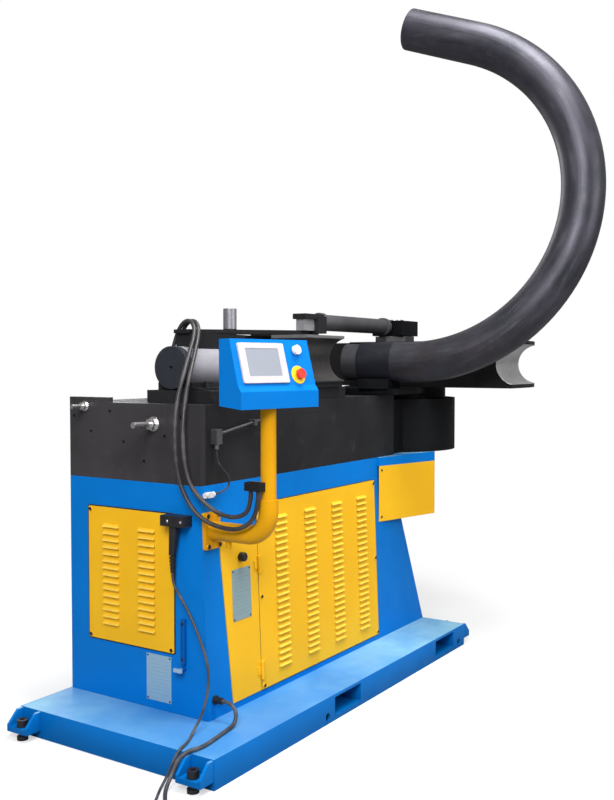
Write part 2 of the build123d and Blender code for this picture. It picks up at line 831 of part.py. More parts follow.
with BuildPart() as drive_rack:
    with BuildSketch(Plane.XY.offset(rack_mid_z - rack_h / 2)):
        with BuildLine():
            Polyline(*rack_points, close=True)
        make_face()
    extrude(amount=rack_h)
    with Locations((piston_x, rack_mid_y, rack_mid_z)):
        Cylinder(rod_r, rack_x0 - piston_x + 1, rotation=(0, 90, 0), align=flat_min)
        Cylinder(barrel_bore_r - run_clear, piston_l, rotation=(0, 90, 0), align=flat_min)
drive_rack.part.label = "drive_rack"
export_step(drive_rack.part, "parts/drive_rack.step")

frame_floor = cab_top + frame_floor_t
with BuildPart() as drive_barrel:
    with Locations((barrel_x0, rack_mid_y, rack_mid_z)):
        Cylinder(barrel_r, barrel_x1 - barrel_x0, rotation=(0, 90, 0), align=flat_min)
    for foot_x in (barrel_x0 + 60, barrel_x1 - 60):
        with Locations((foot_x, rack_mid_y, frame_floor)):
            Box(50, 1.8 * barrel_r, rack_mid_z - frame_floor, align=flat_min)
    with Locations((barrel_x0 + 30, rack_mid_y, rack_mid_z)):
        barrel_l = barrel_x1 - barrel_x0
        Cylinder(barrel_bore_r, barrel_l - 60, rotation=(0, 90, 0), align=flat_min, mode=Mode.SUBTRACT)
        Cylinder(rod_r + run_clear, barrel_l, rotation=(0, 90, 0), align=flat_min, mode=Mode.SUBTRACT)
    with Locations((barrel_x0 + 44, rack_mid_y, rack_mid_z), (barrel_x1 - 44, rack_mid_y, rack_mid_z)):
        Cylinder(8, 2 * barrel_r, align=flat_min, mode=Mode.SUBTRACT)
drive_barrel.part.label = "drive_barrel"
export_step(drive_barrel.part, "parts/drive_barrel.step")

die_x0 = head_x - die_straight
groove_y = head_y - die_r
with BuildPart() as bend_die:
    with BuildSketch(Plane.XY.offset(die_z0)):
        with Locations((head_x, head_y)):
            Circle(lip_r)
        with Locations((head_x, head_y)):
            Rectangle(2 * die_r, 3 * die_r, align=(Align.MAX, Align.CENTER), mode=Mode.SUBTRACT)
        with Locations((die_x0, head_y - lip_r)):
            Rectangle(die_straight + 1, lip_r + die_hub_y1, align=(Align.MIN, Align.MIN))
    extrude(amount=die_h)
    with BuildSketch(Plane(origin=(head_x, head_y, die_mid), x_dir=(0, -1, 0), z_dir=(-1, 0, 0))):
        with Locations((die_r, 0)):
            Circle(groove_r)
    revolve(axis=Axis((head_x, head_y, 0), (0, 0, 1)), revolution_arc=200, mode=Mode.SUBTRACT)
    with Locations((die_x0 - 1, groove_y, die_mid)):
        Cylinder(groove_r, die_straight + 2, rotation=(0, 90, 0), align=flat_min, mode=Mode.SUBTRACT)
    with Locations((head_x, head_y, die_z0)):
        Cylinder(shaft_r, die_h, align=flat_min, mode=Mode.SUBTRACT)
    lighten = [(250, -250), (340, 0), (250, 250)]
    with Locations(*[(head_x + x, head_y + y, die_z0) for x, y in lighten]):
        Cylinder(95, die_h, align=flat_min, mode=Mode.SUBTRACT)
bend_die.part.label = "bend_die"
export_step(bend_die.part, "parts/bend_die.step")

# bent pipe held on the arm; it stands nearly upright and leans toward the die
pipe_x = 569.1
pipe_y = -294.9
pipe_z = 1226
pipe_turn = -1.43
pipe_tilt = 0.1
pipe_stub = 66
pipe_bend = 160.4
pipe_tail = 300
along = Vector(math.cos(pipe_turn), math.sin(pipe_turn), 0)
level = Vector(-math.sin(pipe_turn), math.cos(pipe_turn), 0)
rise = Vector(0, 0, math.cos(pipe_tilt)) + level * math.sin(pipe_tilt)
pipe_plane = Plane(origin=(pipe_x, pipe_y, pipe_z), x_dir=along, z_dir=along.cross(rise))
with BuildPart() as bent_pipe:
    with BuildLine(pipe_plane) as pipe_route:
        stub_line = Line((-pipe_stub, 0), (0, 0))
        bend_arc = JernArc(start=(0, 0), tangent=(1, 0), radius=bend_r, arc_size=pipe_bend)
        tail_dir = (math.cos(math.radians(pipe_bend)), math.sin(math.radians(pipe_bend)))
        tail_from = (bend_r * tail_dir[1], bend_r * (1 - tail_dir[0]))
        tail_to = (tail_from[0] + pipe_tail * tail_dir[0], tail_from[1] + pipe_tail * tail_dir[1])
        tail_line = Line(tail_from, tail_to)
    stub_end = pipe_plane.from_local_coords((-pipe_stub, 0, 0))
    with BuildSketch(Plane(origin=stub_end, z_dir=along)):
        Circle(pipe_r)
        Circle(pipe_r - pipe_wall, mode=Mode.SUBTRACT)
    sweep(path=pipe_route.line)
bent_pipe.part.label = "bent_pipe"
export_step(bent_pipe.part, "parts/bent_pipe.step")

plug_l = 146
spigot_l = 60
shank_r = 76
shank_l = 70
saddle_w = 150
saddle_top = 1158
plug_plane = Plane(origin=stub_end, x_dir=(0, 0, 1), z_dir=along * -1)
with BuildPart() as pipe_plug:
    with BuildSketch(plug_plane):
        Circle(pipe_r)
    extrude(amount=plug_l)
    with BuildSketch(plug_plane):
        Circle(pipe_r - pipe_wall)
    extrude(amount=-spigot_l)
    with BuildSketch(plug_plane.offset(plug_l)):
        with Locations((pipe_r, 0)):
            Rectangle(24, 40)
    extrude(amount=-34, mode=Mode.SUBTRACT)
    with BuildSketch(plug_plane.offset(plug_l)):
        Circle(shank_r)
    extrude(amount=shank_l)
pipe_plug.part.label = "pipe_plug"
export_step(pipe_plug.part, "parts/pipe_plug.step")

arm_points = [(492, -262), (492, 40), (790, 150), (head_x, 150), (head_x, -200), (700, -262)]
arm_t = 25
with BuildPart() as turntable:
    with Locations((head_x, head_y, nose_z1 + head_gap)):
        Cylinder(disc_r, disc_z1 - nose_z1 - head_gap, align=flat_min)
    with BuildSketch(Plane.XY.offset(disc_z1 - arm_t)):
        with BuildLine():
            Polyline(*arm_points, close=True)
        make_face()
    extrude(amount=arm_t)
    with Locations((head_x, head_y, nose_z1)):
        Cylinder(shaft_r, disc_z1, align=flat_min, mode=Mode.SUBTRACT)
    saddle_from = stub_end - along * (plug_l - 8)
    with BuildSketch(Plane(origin=(saddle_from.X, saddle_from.Y, disc_z1 - 1), x_dir=along, z_dir=(0, 0, 1))):
        Rectangle(plug_l - 16, saddle_w, align=(Align.MIN, Align.CENTER))
    extrude(amount=saddle_top - disc_z1 + 1)
    with BuildSketch(plug_plane.offset(plug_l + 10)):
        Circle(pipe_r)
    extrude(amount=-(plug_l + 200), mode=Mode.SUBTRACT)
turntable.part.label = "turntable"
export_step(turntable.part, "parts/turntable.step")

# boost cylinder, its saddle, rod, carriage and grooved pressure die
turn_x = (0, 90, 0)
with BuildPart() as boost_cylinder:
    with Locations((boost_x0 + boost_cap_l, boost_y, boost_z)):
        barrel_l = boost_x1 - boost_x0 - boost_cap_l
        Cylinder(boost_r, barrel_l, rotation=turn_x, align=flat_min)
        Cylinder(boost_bore_r, barrel_l - 40, rotation=turn_x, align=flat_min, mode=Mode.SUBTRACT)
        Cylinder(boost_rod_r + run_clear, skid_l, rotation=turn_x, align=flat_min, mode=Mode.SUBTRACT)
    with Locations((boost_x1 - 60, boost_y, boost_z)):
        Cylinder(8, 2 * boost_r, align=flat_min, mode=Mode.SUBTRACT)
    with Locations((boost_x0, boost_y, boost_z)):
        Cylinder(boost_r, boost_cap_l, rotation=turn_x, align=flat_min)
        Cylinder(6, 3 * boost_cap_l, rotation=turn_x, mode=Mode.SUBTRACT)
boost_cylinder.part.label = "boost_cylinder"
export_step(boost_cylinder.part, "parts/boost_cylinder.step")

boost_saddle_l = 170
boost_saddle_w = 146
boost_saddle_h = 26
saddle_foot_w = 176
saddle_foot_t = 8
hold_bolt_x = -486
hold_bolt_y = 90
with BuildPart() as boost_saddle:
    with Locations((boost_x0 + 20, boost_y, bed_top)):
        Box(boost_saddle_l, boost_saddle_w, boost_saddle_h, align=(Align.MIN, Align.CENTER, Align.MIN))
    with Locations((boost_x0 + 20, boost_y + boost_saddle_w / 2, bed_top)):
        Box(boost_saddle_l, saddle_foot_w, saddle_foot_t, align=(Align.MIN, Align.MAX, Align.MIN))
    with Locations((hold_bolt_x, boost_y - hold_bolt_y, bed_top)):
        Cylinder(12.5, saddle_foot_t + 21, align=flat_min)
    with Locations((boost_x0, boost_y, boost_z)):
        Cylinder(boost_r, skid_l, rotation=turn_x, mode=Mode.SUBTRACT)
boost_saddle.part.label = "boost_saddle"
export_step(boost_saddle.part, "parts/boost_saddle.step")

boost_piston_x = -400
with BuildPart() as boost_rod:
    with Locations((boost_piston_x, boost_y, boost_z)):
        Cylinder(boost_rod_r, carriage_x0 - boost_piston_x, rotation=turn_x, align=flat_min)
        Cylinder(boost_bore_r - run_clear, 40, rotation=turn_x, align=flat_min)
boost_rod.part.label = "boost_rod"
export_step(boost_rod.part, "parts/boost_rod.step")

carriage_z0 = bed_top + slide_clear
with BuildPart() as boost_carriage:
    with Locations((carriage_x0, carriage_y0, carriage_z0)):
        Box(carriage_x1 - carriage_x0, carriage_y1 - carriage_y0, carriage_t, align=low_min)
        Box(carriage_back_t, carriage_y1 - carriage_y0, carriage_back_z - carriage_z0, align=low_min)
    with Locations((carriage_x0, key_y - key_w / 2 + slide_clear, carriage_z0 - key_h)):
        Box(carriage_x1 - carriage_x0, key_w - 2 * slide_clear, key_h + 1, align=low_min)
boost_carriage.part.label = "boost_carriage"
export_step(boost_carriage.part, "parts/boost_carriage.step")

press_z0 = carriage_z0 + carriage_t
with BuildPart() as pressure_die:
    with Locations((carriage_x0 + carriage_back_t, press_y0, press_z0)):
        press_l = carriage_x1 - carriage_x0 - carriage_back_t
        Box(press_l, press_y1 - press_y0, press_z1 - press_z0, align=low_min)
    with Locations((carriage_x0, press_y0 - die_relief, press_mid)):
        Cylinder(groove_r - 4, skid_l, rotation=turn_x, align=flat_min, mode=Mode.SUBTRACT)
pressure_die.part.label = "pressure_die"
export_step(pressure_die.part, "parts/pressure_die.step")

# overhead beam and tie to the shaft's top
pedestal_y0 = carriage_y1 + 6
beam_profile = [
    (beam_x0, beam_z0),
    (beam_x1, beam_z0 + beam_rise),
    (beam_x1, beam_seat),
    (beam_seat_x, beam_seat),
    (beam_x0, beam_z0 + beam_t),
]
valve_cap_z = beam_seat + valve_h
with BuildPart() as overhead_beam:
    with BuildSketch(Plane.XZ.offset(-beam_y1)):
        Polygon(*beam_profile, align=None)
    extrude(amount=beam_y1 - beam_y0)
    with Locations((beam_block_x0, beam_y0, boost_z)):
        Box(boost_x1 - beam_block_x0, beam_y1 - beam_y0, beam_z0 + 1 - boost_z, align=low_min)
    with Locations((beam_block_x0 - 1, boost_y, boost_z)):
        Cylinder(boost_r, boost_x1 - beam_block_x0 + 2, rotation=turn_x, align=flat_min, mode=Mode.SUBTRACT)
    with Locations((boost_x1 - 1, web_y0, web_z0)):
        Box(pedestal_x0 - boost_x1 + 2, beam_y1 - web_y0, beam_z0 + 2 - web_z0, align=low_min)
    with Locations((pedestal_x0, web_y0, web_z0)):
        Box(pedestal_l, pedestal_y1 - web_y0, beam_seat - web_z0 - 3, align=low_min)
    with Locations((pedestal_x0, pedestal_y0, bed_top)):
        Box(pedestal_l, pedestal_y1 - pedestal_y0, web_z0 + 1 - bed_top, align=low_min)
    with Locations((pin_x, (beam_y0 + beam_y1) / 2, beam_z0)):
        Cylinder(pin_r, pin_top - beam_z0, align=flat_min)
    with Locations((valve_x0 + valve_l, tie_y - tie_block_w / 2, beam_seat - 10)):
        Box(beam_x1 - valve_x0 - valve_l, tie_block_w, tie_block_top - beam_seat + 10, align=low_min)
    with Locations((valve_cap_x0, tie_y - valve_cap_w / 2, valve_cap_z)):
        Box(beam_x1 - valve_cap_x0, valve_cap_w, valve_cap_t, align=low_min)
overhead_beam.part.label = "overhead_beam"
export_step(overhead_beam.part, "parts/overhead_beam.step")

with BuildPart() as valve_block:
    with Locations((valve_x0, valve_y0, beam_seat)):
        Box(valve_l, valve_w, valve_h, align=low_min)
valve_block.part.label = "valve_block"
export_step(valve_block.part, "parts/valve_block.step")

with BuildPart() as tie_cylinder:
    with Locations((tie_x0, tie_y, tie_z)):
        Cylinder(tie_r, tie_x1 - tie_x0, rotation=turn_x, align=flat_min)
        Cylinder(tie_r + 6, 26, rotation=turn_x, align=flat_min)
        Cylinder(tie_rod_r, tie_head_x0 - tie_x0, rotation=turn_x, align=flat_min)
    with Locations((tie_x1 - 24, tie_y, tie_z)):
        Cylinder(tie_r + 6, 24, rotation=turn_x, align=flat_min)
tie_cylinder.part.label = "tie_cylinder"
export_step(tie_cylinder.part, "parts/tie_cylinder.step")

with BuildPart() as tie_head:
    with Locations((tie_head_x0, tie_y - tie_head_w / 2, tie_head_z0)):
        Box(tie_head_x1 - tie_head_x0, tie_head_w, tie_head_h, align=low_min)
    with Locations((head_x, head_y, tie_head_z0)):
        Cylinder(shaft_top_r + run_clear, tie_head_h, align=flat_min, mode=Mode.SUBTRACT)
tie_head.part.label = "tie_head"
export_step(tie_head.part, "parts/tie_head.step")

# hydraulic unit inside the cabinet
tank_x0 = -320
tank_l = 620
tank_w = 430
tank_h = 300
tank_y = 100
motor_r = 95
motor_l = 300
motor_x = -200
motor_foot_h = 60
motor_z = skid_h + tank_h + motor_foot_h + 55
bell_r = 70
bell_l = 60
pump_r = 48
pump_l = 150
with BuildPart() as oil_tank:
    with Locations((tank_x0, tank_y - tank_w / 2, skid_h)):
        Box(tank_l, tank_w, tank_h, align=low_min)
    with Locations((tank_x0 + tank_l - 70, tank_y + 120, skid_h + tank_h)):
        Cylinder(26, 50, align=flat_min)
    with Locations((motor_x + motor_l - 100, tank_y - 190, skid_h + tank_h)):
        Box(260, 90, 80, align=low_min)
    for station in range(3):
        with Locations((motor_x + motor_l - 60 + station * 85, tank_y - 145, skid_h + tank_h + 80)):
            Box(56, 60, 60, align=flat_min)
oil_tank.part.label = "oil_tank"
export_step(oil_tank.part, "parts/oil_tank.step")

with BuildPart() as pump_motor:
    with Locations((motor_x, tank_y, motor_z)):
        Cylinder(motor_r, motor_l, rotation=turn_x, align=flat_min)
    with Locations((motor_x + motor_l / 2, tank_y, skid_h + tank_h)):
        Box(0.8 * motor_l, 1.7 * motor_r, motor_foot_h, align=flat_min)
    with Locations((motor_x + 60, tank_y - motor_r, motor_z)):
        Box(90, 60, 80)
    with Locations((motor_x + motor_l, tank_y, motor_z)):
        Cylinder(bell_r, bell_l, rotation=turn_x, align=flat_min)
        Cylinder(pump_r, pump_l, rotation=turn_x, align=flat_min)
pump_motor.part.label = "pump_motor"
export_step(pump_motor.part, "parts/pump_motor.step")

# arm, post and console
flange_v = arm_z - skid_h
face_y = cab_y_foot + cab_lean * (arm_z - skid_h)
arc_in = 1 - math.sqrt(0.5)
with BuildPart() as console_arm:
    with BuildSketch(side_plane):
        with Locations((post_x, flange_v)):
            RectangleRounded(flange_w, flange_h, 6)
    extrude(amount=flange_t)
    with BuildLine() as arm_route:
        Line((post_x, face_y - flange_t / 2, arm_z), (post_x, post_y + arm_bend, arm_z))
        ThreePointArc(
            (post_x, post_y + arm_bend, arm_z),
            (post_x, post_y + arm_bend * arc_in, arm_z + arm_bend * arc_in),
            (post_x, post_y, arm_z + arm_bend),
        )
        Line((post_x, post_y, arm_z + arm_bend), (post_x, post_y, arm_top))
    with BuildSketch(Plane(origin=(post_x, face_y - flange_t / 2, arm_z), z_dir=(0, -1, 0))):
        Circle(arm_r)
    sweep(path=arm_route.line)
    with BuildSketch(side_plane.offset(flange_t)):
        with Locations((post_x, flange_v)):
            with GridLocations(flange_w - 22, flange_h - 22, 2, 2):
                RegularPolygon(8, 6)
    extrude(amount=6)
    with Locations((post_x, face_y - 74, arm_z - arm_r - 10)):
        Cylinder(9, 24)
    with Locations((post_x, post_y, post_z0)):
        Cylinder(post_r, post_z1 - post_z0, align=flat_min)
    with Locations((post_x - post_r - clamp_l, clamp_y0, clamp_z)):
        Box(clamp_l + post_wall, clamp_w, clamp_h, align=low_min)
    with Locations((post_x, post_y, post_z0)):
        Cylinder(post_r - post_wall, post_z1 - post_z0, align=flat_min, mode=Mode.SUBTRACT)
console_arm.part.label = "console_arm"
export_step(console_arm.part, "parts/console_arm.step")

turn = math.radians(console_turn)
console_from = (post_x, post_y, console_z)
console_plane = Plane(origin=console_from, x_dir=(math.cos(turn), math.sin(turn), 0), z_dir=(0, 0, 1))
console_x = console_plane.x_dir
console_y = console_plane.y_dir
panel_y0 = console_front + console_ledge_in
panel_z0 = console_low + console_ledge_up
panel_run = console_brow - panel_y0
panel_rise = console_high - panel_z0
slope_l = math.hypot(panel_run, panel_rise)
panel_out = console_y * (-panel_rise / slope_l) + Vector(0, 0, panel_run / slope_l)
panel_from = console_plane.from_local_coords(
    (console_shift, panel_y0 + panel_run / 2, panel_z0 + panel_rise / 2)
)
panel = Plane(origin=panel_from, x_dir=console_x, z_dir=panel_out)


def console_block(inset, back, length):
    """Console side profile drawn in by inset, open by back at the rear, as a solid of the given length."""
    left = console_plane.from_local_coords((console_shift - length / 2, 0, 0))
    with BuildPart(mode=Mode.PRIVATE) as block:
        with BuildSketch(Plane(origin=left, x_dir=console_y, z_dir=console_x)):
            with BuildLine():
                Polyline(
                    (console_front + inset, 1.1 * inset),
                    (console_front + inset, console_low - 0.34 * inset),
                    (panel_y0 + 0.91 * inset, panel_z0 - 0.45 * inset),
                    (console_brow + 0.76 * inset, console_high - inset),
                    (console_back + back, console_high - inset),
                    (console_back + back, console_rise + inset),
                    close=True,
                )
            make_face()
        extrude(amount=length)
    return block.part


socket_r2 = post_r + 6
with BuildPart() as console_box:
    add(console_block(0, 0, console_l))
    add(console_block(console_sheet, 1, console_l - 2 * console_sheet), mode=Mode.SUBTRACT)
    with Locations((post_x, post_y, console_z)):
        Cylinder(socket_r2, post_z1 - console_z + 8, align=flat_min)
        Cylinder(post_r + run_clear, post_z1 - console_z + slide_clear, align=flat_min, mode=Mode.SUBTRACT)
    with BuildSketch(panel):
        with Locations((button_x, button_v), (estop_x, estop_v)):
            Circle(stem_r + stem_clear)
    extrude(amount=3 * console_sheet, both=True, mode=Mode.SUBTRACT)
console_box.part.label = "console_box"
export_step(console_box.part, "parts/console_box.step")

rear_from = console_plane.from_local_coords((console_shift, console_back, (console_rise + console_high) / 2))
with BuildPart() as console_rear:
    with BuildSketch(Plane(origin=rear_from, x_dir=console_x, z_dir=console_y)):
        Rectangle(console_l, console_high - console_rise)
    extrude(amount=console_sheet)
console_rear.part.label = "console_rear"
export_step(console_rear.part, "parts/console_rear.step")

recess = 3
with BuildPart() as hmi_bezel:
    with BuildSketch(panel):
        with Locations((bezel_x, bezel_v)):
            RectangleRounded(bezel_w, bezel_h, 6)
    extrude(amount=bezel_t)
    with BuildSketch(panel.offset(bezel_t)):
        with Locations((bezel_x, bezel_v + screen_v)):
            Rectangle(screen_w, screen_h)
    extrude(amount=-recess, mode=Mode.SUBTRACT)
hmi_bezel.part.label = "hmi_bezel"
export_step(hmi_bezel.part, "parts/hmi_bezel.step")

with BuildPart() as hmi_screen:
    with BuildSketch(panel.offset(bezel_t - recess)):
        with Locations((bezel_x, bezel_v + screen_v)):
            Rectangle(screen_w, screen_h)
    extrude(amount=recess - 1)
hmi_screen.part.label = "hmi_screen"
export_step(hmi_screen.part, "parts/hmi_screen.step")

with BuildPart() as push_button:
    with BuildSketch(panel.offset(button_travel + 1)):
        with Locations((button_x, button_v)):
            Circle(button_r)
    extrude(amount=button_h)
    with BuildSketch(panel.offset(button_travel + 1)):
        with Locations((button_x, button_v)):
            Circle(stem_r)
    extrude(amount=-stem_l)
push_button.part.label = "push_button"
export_step(push_button.part, "parts/push_button.step")

with BuildPart() as estop_ring:
    with BuildSketch(panel):
        with Locations((estop_x, estop_v)):
            Circle(ring_r)
            Circle(stem_r + stem_clear, mode=Mode.SUBTRACT)
    extrude(amount=ring_t)
estop_ring.part.label = "estop_ring"
export_step(estop_ring.part, "parts/estop_ring.step")

with BuildPart() as estop_button:
    with BuildSketch(panel.offset(mushroom_lift)):
        with Locations((estop_x, estop_v)):
            Circle(mushroom_r)
    extrude(amount=mushroom_h)
    with BuildSketch(panel.offset(mushroom_lift)):
        with Locations((estop_x, estop_v)):
            Circle(stem_r)
    extrude(amount=-stem_l - mushroom_lift)
estop_button.part.label = "estop_button"
export_step(estop_button.part, "parts/estop_button.step")

# connector, glands and limit switch
conn_y = -97
conn_z = 723
conn_d = 46
conn_w = 94
conn_h = 34
plug_x = cab_x0 - conn_d / 2
plug_top = conn_z - conn_h / 2
plug_low = 612
boot_low = 556
with BuildPart() as connector_base:
    with Locations((cab_x0 - conn_d, conn_y - conn_w / 2, conn_z - conn_h / 2)):
        Box(conn_d, conn_w, conn_h, align=low_min)
    notch_y = end_cover_y - end_cover_w / 2 - slide_clear
    with Locations((cab_x0 - cover_t - screw_h - slide_clear, notch_y, conn_z - conn_h)):
        Box(2 * conn_d, conn_w, 2 * conn_h, align=low_min, mode=Mode.SUBTRACT)
connector_base.part.label = "connector_base"
export_step(connector_base.part, "parts/connector_base.step")

cord_y = -83
with BuildPart() as connector_plug:
    with BuildSketch(Plane(origin=(plug_x, conn_y + 6, plug_top))):
        RectangleRounded(28, 28, 6)
    with BuildSketch(Plane(origin=(plug_x - 2, cord_y, plug_low))):
        RectangleRounded(20, 20, 6)
    loft()
    for ring in range(5):
        with Locations((plug_x - 2, cord_y, boot_low + ring * 11)):
            Cylinder(7 + ring * 0.8, 7, align=flat_min)
    with Locations((plug_x - 2, cord_y, boot_low)):
        Cylinder(6.2, plug_low - boot_low + 1, align=flat_min)
connector_plug.part.label = "connector_plug"
export_step(connector_plug.part, "parts/connector_plug.step")

gland_x = -613
gland_v = 61
gland_l = 31
white_gland_x = -618
white_gland_y = -190
white_gland_z = 805
white_gland_l = 44
white_gland_back = cab_y_foot + cab_lean * (white_gland_z - skid_h) - 0.5
with BuildPart() as cable_glands:
    with BuildSketch(side_plane):
        with Locations((gland_x, gland_v)):
            RegularPolygon(15, 6)
    extrude(amount=9)
    with BuildSketch(side_plane.offset(9)):
        with Locations((gland_x, gland_v)):
            Circle(11)
    extrude(amount=gland_l - 9)
    with Locations((white_gland_x, white_gland_y, white_gland_z)):
        Cylinder(9, white_gland_l, rotation=(0, 90, 0))
        Box(24, 2 * (white_gland_back - white_gland_y), 16)
cable_glands.part.label = "cable_glands"
export_step(cable_glands.part, "parts/cable_glands.step")

switch_x = -582
switch_z = 988
switch_d = 26
rod_l = 236
rod_rise = 36
rod_plane = Plane(origin=(switch_x, frame_y0 - 13, switch_z + 6), z_dir=(rod_l, 0, rod_rise))
with BuildPart() as limit_switch:
    with Locations((switch_x - 14, frame_y0 - switch_d, switch_z - 24)):
        Box(28, switch_d, 48, align=low_min)
    with Locations((switch_x, frame_y0 - switch_d / 2, switch_z - 32)):
        Cylinder(8, 16)
    with BuildSketch(rod_plane):
        Circle(4)
    extrude(amount=rod_l)
    with Locations((switch_x + rod_l - 40, frame_y0 - 13, switch_z + 6 + rod_rise * (rod_l - 40) / rod_l)):
        Box(16, 26, 20)
limit_switch.part.label = "limit_switch"
export_step(limit_switch.part, "parts/limit_switch.step")

# cords: straight runs joined by tangent arcs, each as large as its runs allow
def corner_radii(points):
    """Arc radius at each corner: 0.45 of the shorter run over the tangent of half the turn."""
    radii = []
    for before, corner, after in zip(points, points[1:], points[2:]):
        run_in = Vector(*corner) - Vector(*before)
        run_out = Vector(*after) - Vector(*corner)
        half_turn = math.radians(run_in.get_angle(run_out)) / 2
        radii.append(0.45 * min(run_in.length, run_out.length) / math.tan(half_turn))
    return radii


def report_cord(name, part, radius, length, radii):
    """Prints a cord's radii in diameters and its volume against its section times its length."""
    share = part.volume / (math.pi * radius**2 * length)
    print(name, "length", round(length), "volume share", round(share, 4))
    print("  radii in diameters:", [round(r / radius / 2, 1) for r in radii])


def coil_turns(start, heading, side, step, outer_r, loops):
    """(point, tangent) pairs of the half turns of a two-layer coil: in, up a layer and out."""
    across = Vector(-heading.Y, heading.X, 0) * side
    centre = start - across * outer_r
    turns = []
    for half in range(2 * loops + 1):
        sign = (-1) ** half
        turns.append((centre + across * (sign * (outer_r - half * step / 2)), heading * sign))
    inner_r = outer_r - loops * step
    for half in range(2 * loops + 2):
        sign = (-1) ** (half + 1)
        place = centre + across * (sign * (inner_r + half * step / 2)) + Vector(0, 0, step)
        turns.append((place, heading * sign))
    return turns


def least_gap(turns, radius):
    """Least gap of a coil's tube to itself, on points along its half turns."""
    steps = 24
    points = []
    for (start, tangent), (end, _) in zip(turns, turns[1:]):
        middle = (start + end) * 0.5
        reach = (end - start).length / 2
        for i in range(steps):
            angle = math.pi * i / steps
            points.append(middle + (start - middle) * math.cos(angle) + tangent * (reach * math.sin(angle)))
    least = min(
        (points[i] - points[j]).length
        for i in range(len(points))
        for j in range(i + steps, len(points))
    )
    return least - 2 * radius


thick_r = 7
sensor_r = 3
pedal_r = 4.3
power_r = 6
loop_1_points = [
    (-468, terminal_y0 + terminal_w / 2, bed_top + terminal_h),
    (-468, terminal_y0 + terminal_w / 2, 1235),
    (-469, 80, 1290),
    (-471, 58, 1338),
    (-476, 28, 1365),
    (-485, -8, 1365),
    (-498, -34, 1340),
    (-520, -48, 1306),
    (-550, -62, 1275),
    (-589, -80, 1233),
    (-629, -96, 1185),
    (-659, -106, 1141),
    (-681, -112, 1092),
    (-693, -115, 1040),
    (-698, -117, 975),
    (-697, -122, 900),
    (-692, -140, 822),
    (-682, -195, 745),
    (-668, -265, 716),
    (-656, -345, 712),
    (-649, -404, 766),
    (-649, -404, clamp_z),
]
loop_2_points = [
    (-444, terminal_y0 + terminal_w / 2, bed_top + terminal_h),
    (-444, terminal_y0 + terminal_w / 2, 1235),
    (-445, 80, 1290),
    (-447, 58, 1338),
    (-453, 28, 1365),
    (-463, -8, 1365),
    (-478, -36, 1341),
    (-503, -53, 1308),
    (-534, -70, 1275),
    (-573, -90, 1232),
    (-612, -108, 1184),
    (-643, -121, 1140),
    (-664, -130, 1090),
    (-677, -134, 1038),
    (-684, -138, 975),
    (-686, -146, 905),
    (-684, -166, 842),
    (-676, -212, 790),
    (-664, -270, 755),
    (-654, -330, 748),
    (-649, -376, 778),
    (-649, -376, clamp_z),
]
sensor_points = [
    (switch_x, frame_y0 - switch_d / 2, switch_z - 40),
    (switch_x, frame_y0 - switch_d / 2, 912),
    (-560, -200, 880),
    (-532, -206, 856),
    (-530, -200, 822),
    (-560, white_gland_y, white_gland_z),
    (white_gland_x + white_gland_l / 2, white_gland_y, white_gland_z),
]
pedal_points = [
    (plug_x - 2, cord_y, boot_low),
    (plug_x - 2, cord_y, 522),
    (-678, -121, 484),
    (-684, -168, 430),
    (-692, -216, 356),
    (-700, -248, 297),
    (-706, -257, 248),
    (-715, -254, 188),
    (-731, -243, 134),
    (-760, -238, 104),
    (-797, -256, 95.6),
    (-836, -272, 95.8),
    (-872, -283, 99),
    (-896, -281, 76),
    (-902, -270, 44),
    (-914, -264, 20),
    (-938, -268, 6.5),
    (-985, -295, 4.8),
    (-1062, -346, 4.8),
    (-1146, -404, 4.8),
]
gland_tip = side_plane.from_local_coords((gland_x, gland_v, gland_l))
gland_out = side_plane.from_local_coords((gland_x, gland_v, gland_l + 30))
power_points = [
    (gland_tip.X, gland_tip.Y, gland_tip.Z),
    (gland_out.X, gland_out.Y, gland_out.Z),
    (-617, -296, 132),
    (-640, -306, 103),
    (-690, -309, 97.6),
    (-745, -318, 97.4),
    (-796, -326, 97.6),
    (-838, -327, 98.2),
    (-880, -318, 102),
    (-906, -303, 84),
    (-912, -293, 50),
    (-930, -289, 24),
    (-962, -303, 9),
    (-1008, -345, 6.6),
    (-1068, -394, 6.6),
    (-1128, -458, 6.6),
    (-1172, -532, 6.6),
    (-1204, -614, 6.6),
]
cords = [
    ("loop_cable_1", thick_r, loop_1_points),
    ("loop_cable_2", thick_r, loop_2_points),
    ("sensor_cable", sensor_r, sensor_points),
    ("pedal_cord", pedal_r, pedal_points),
    ("power_cord", power_r, power_points),
]
for name, radius, points in cords:
    radii = corner_radii(points)
    with BuildPart() as cord:
        with BuildLine() as route:
            FilletPolyline(*points, radius=radii)
        with BuildSketch(Plane(origin=points[0], z_dir=Vector(*points[1]) - Vector(*points[0]))):
            Circle(radius)
        sweep(path=route.line)
    report_cord(name, cord.part, radius, sum(e.length for e in route.edges()), radii)
    cord.part.label = name
    export_step(cord.part, "parts/" + name + ".step")

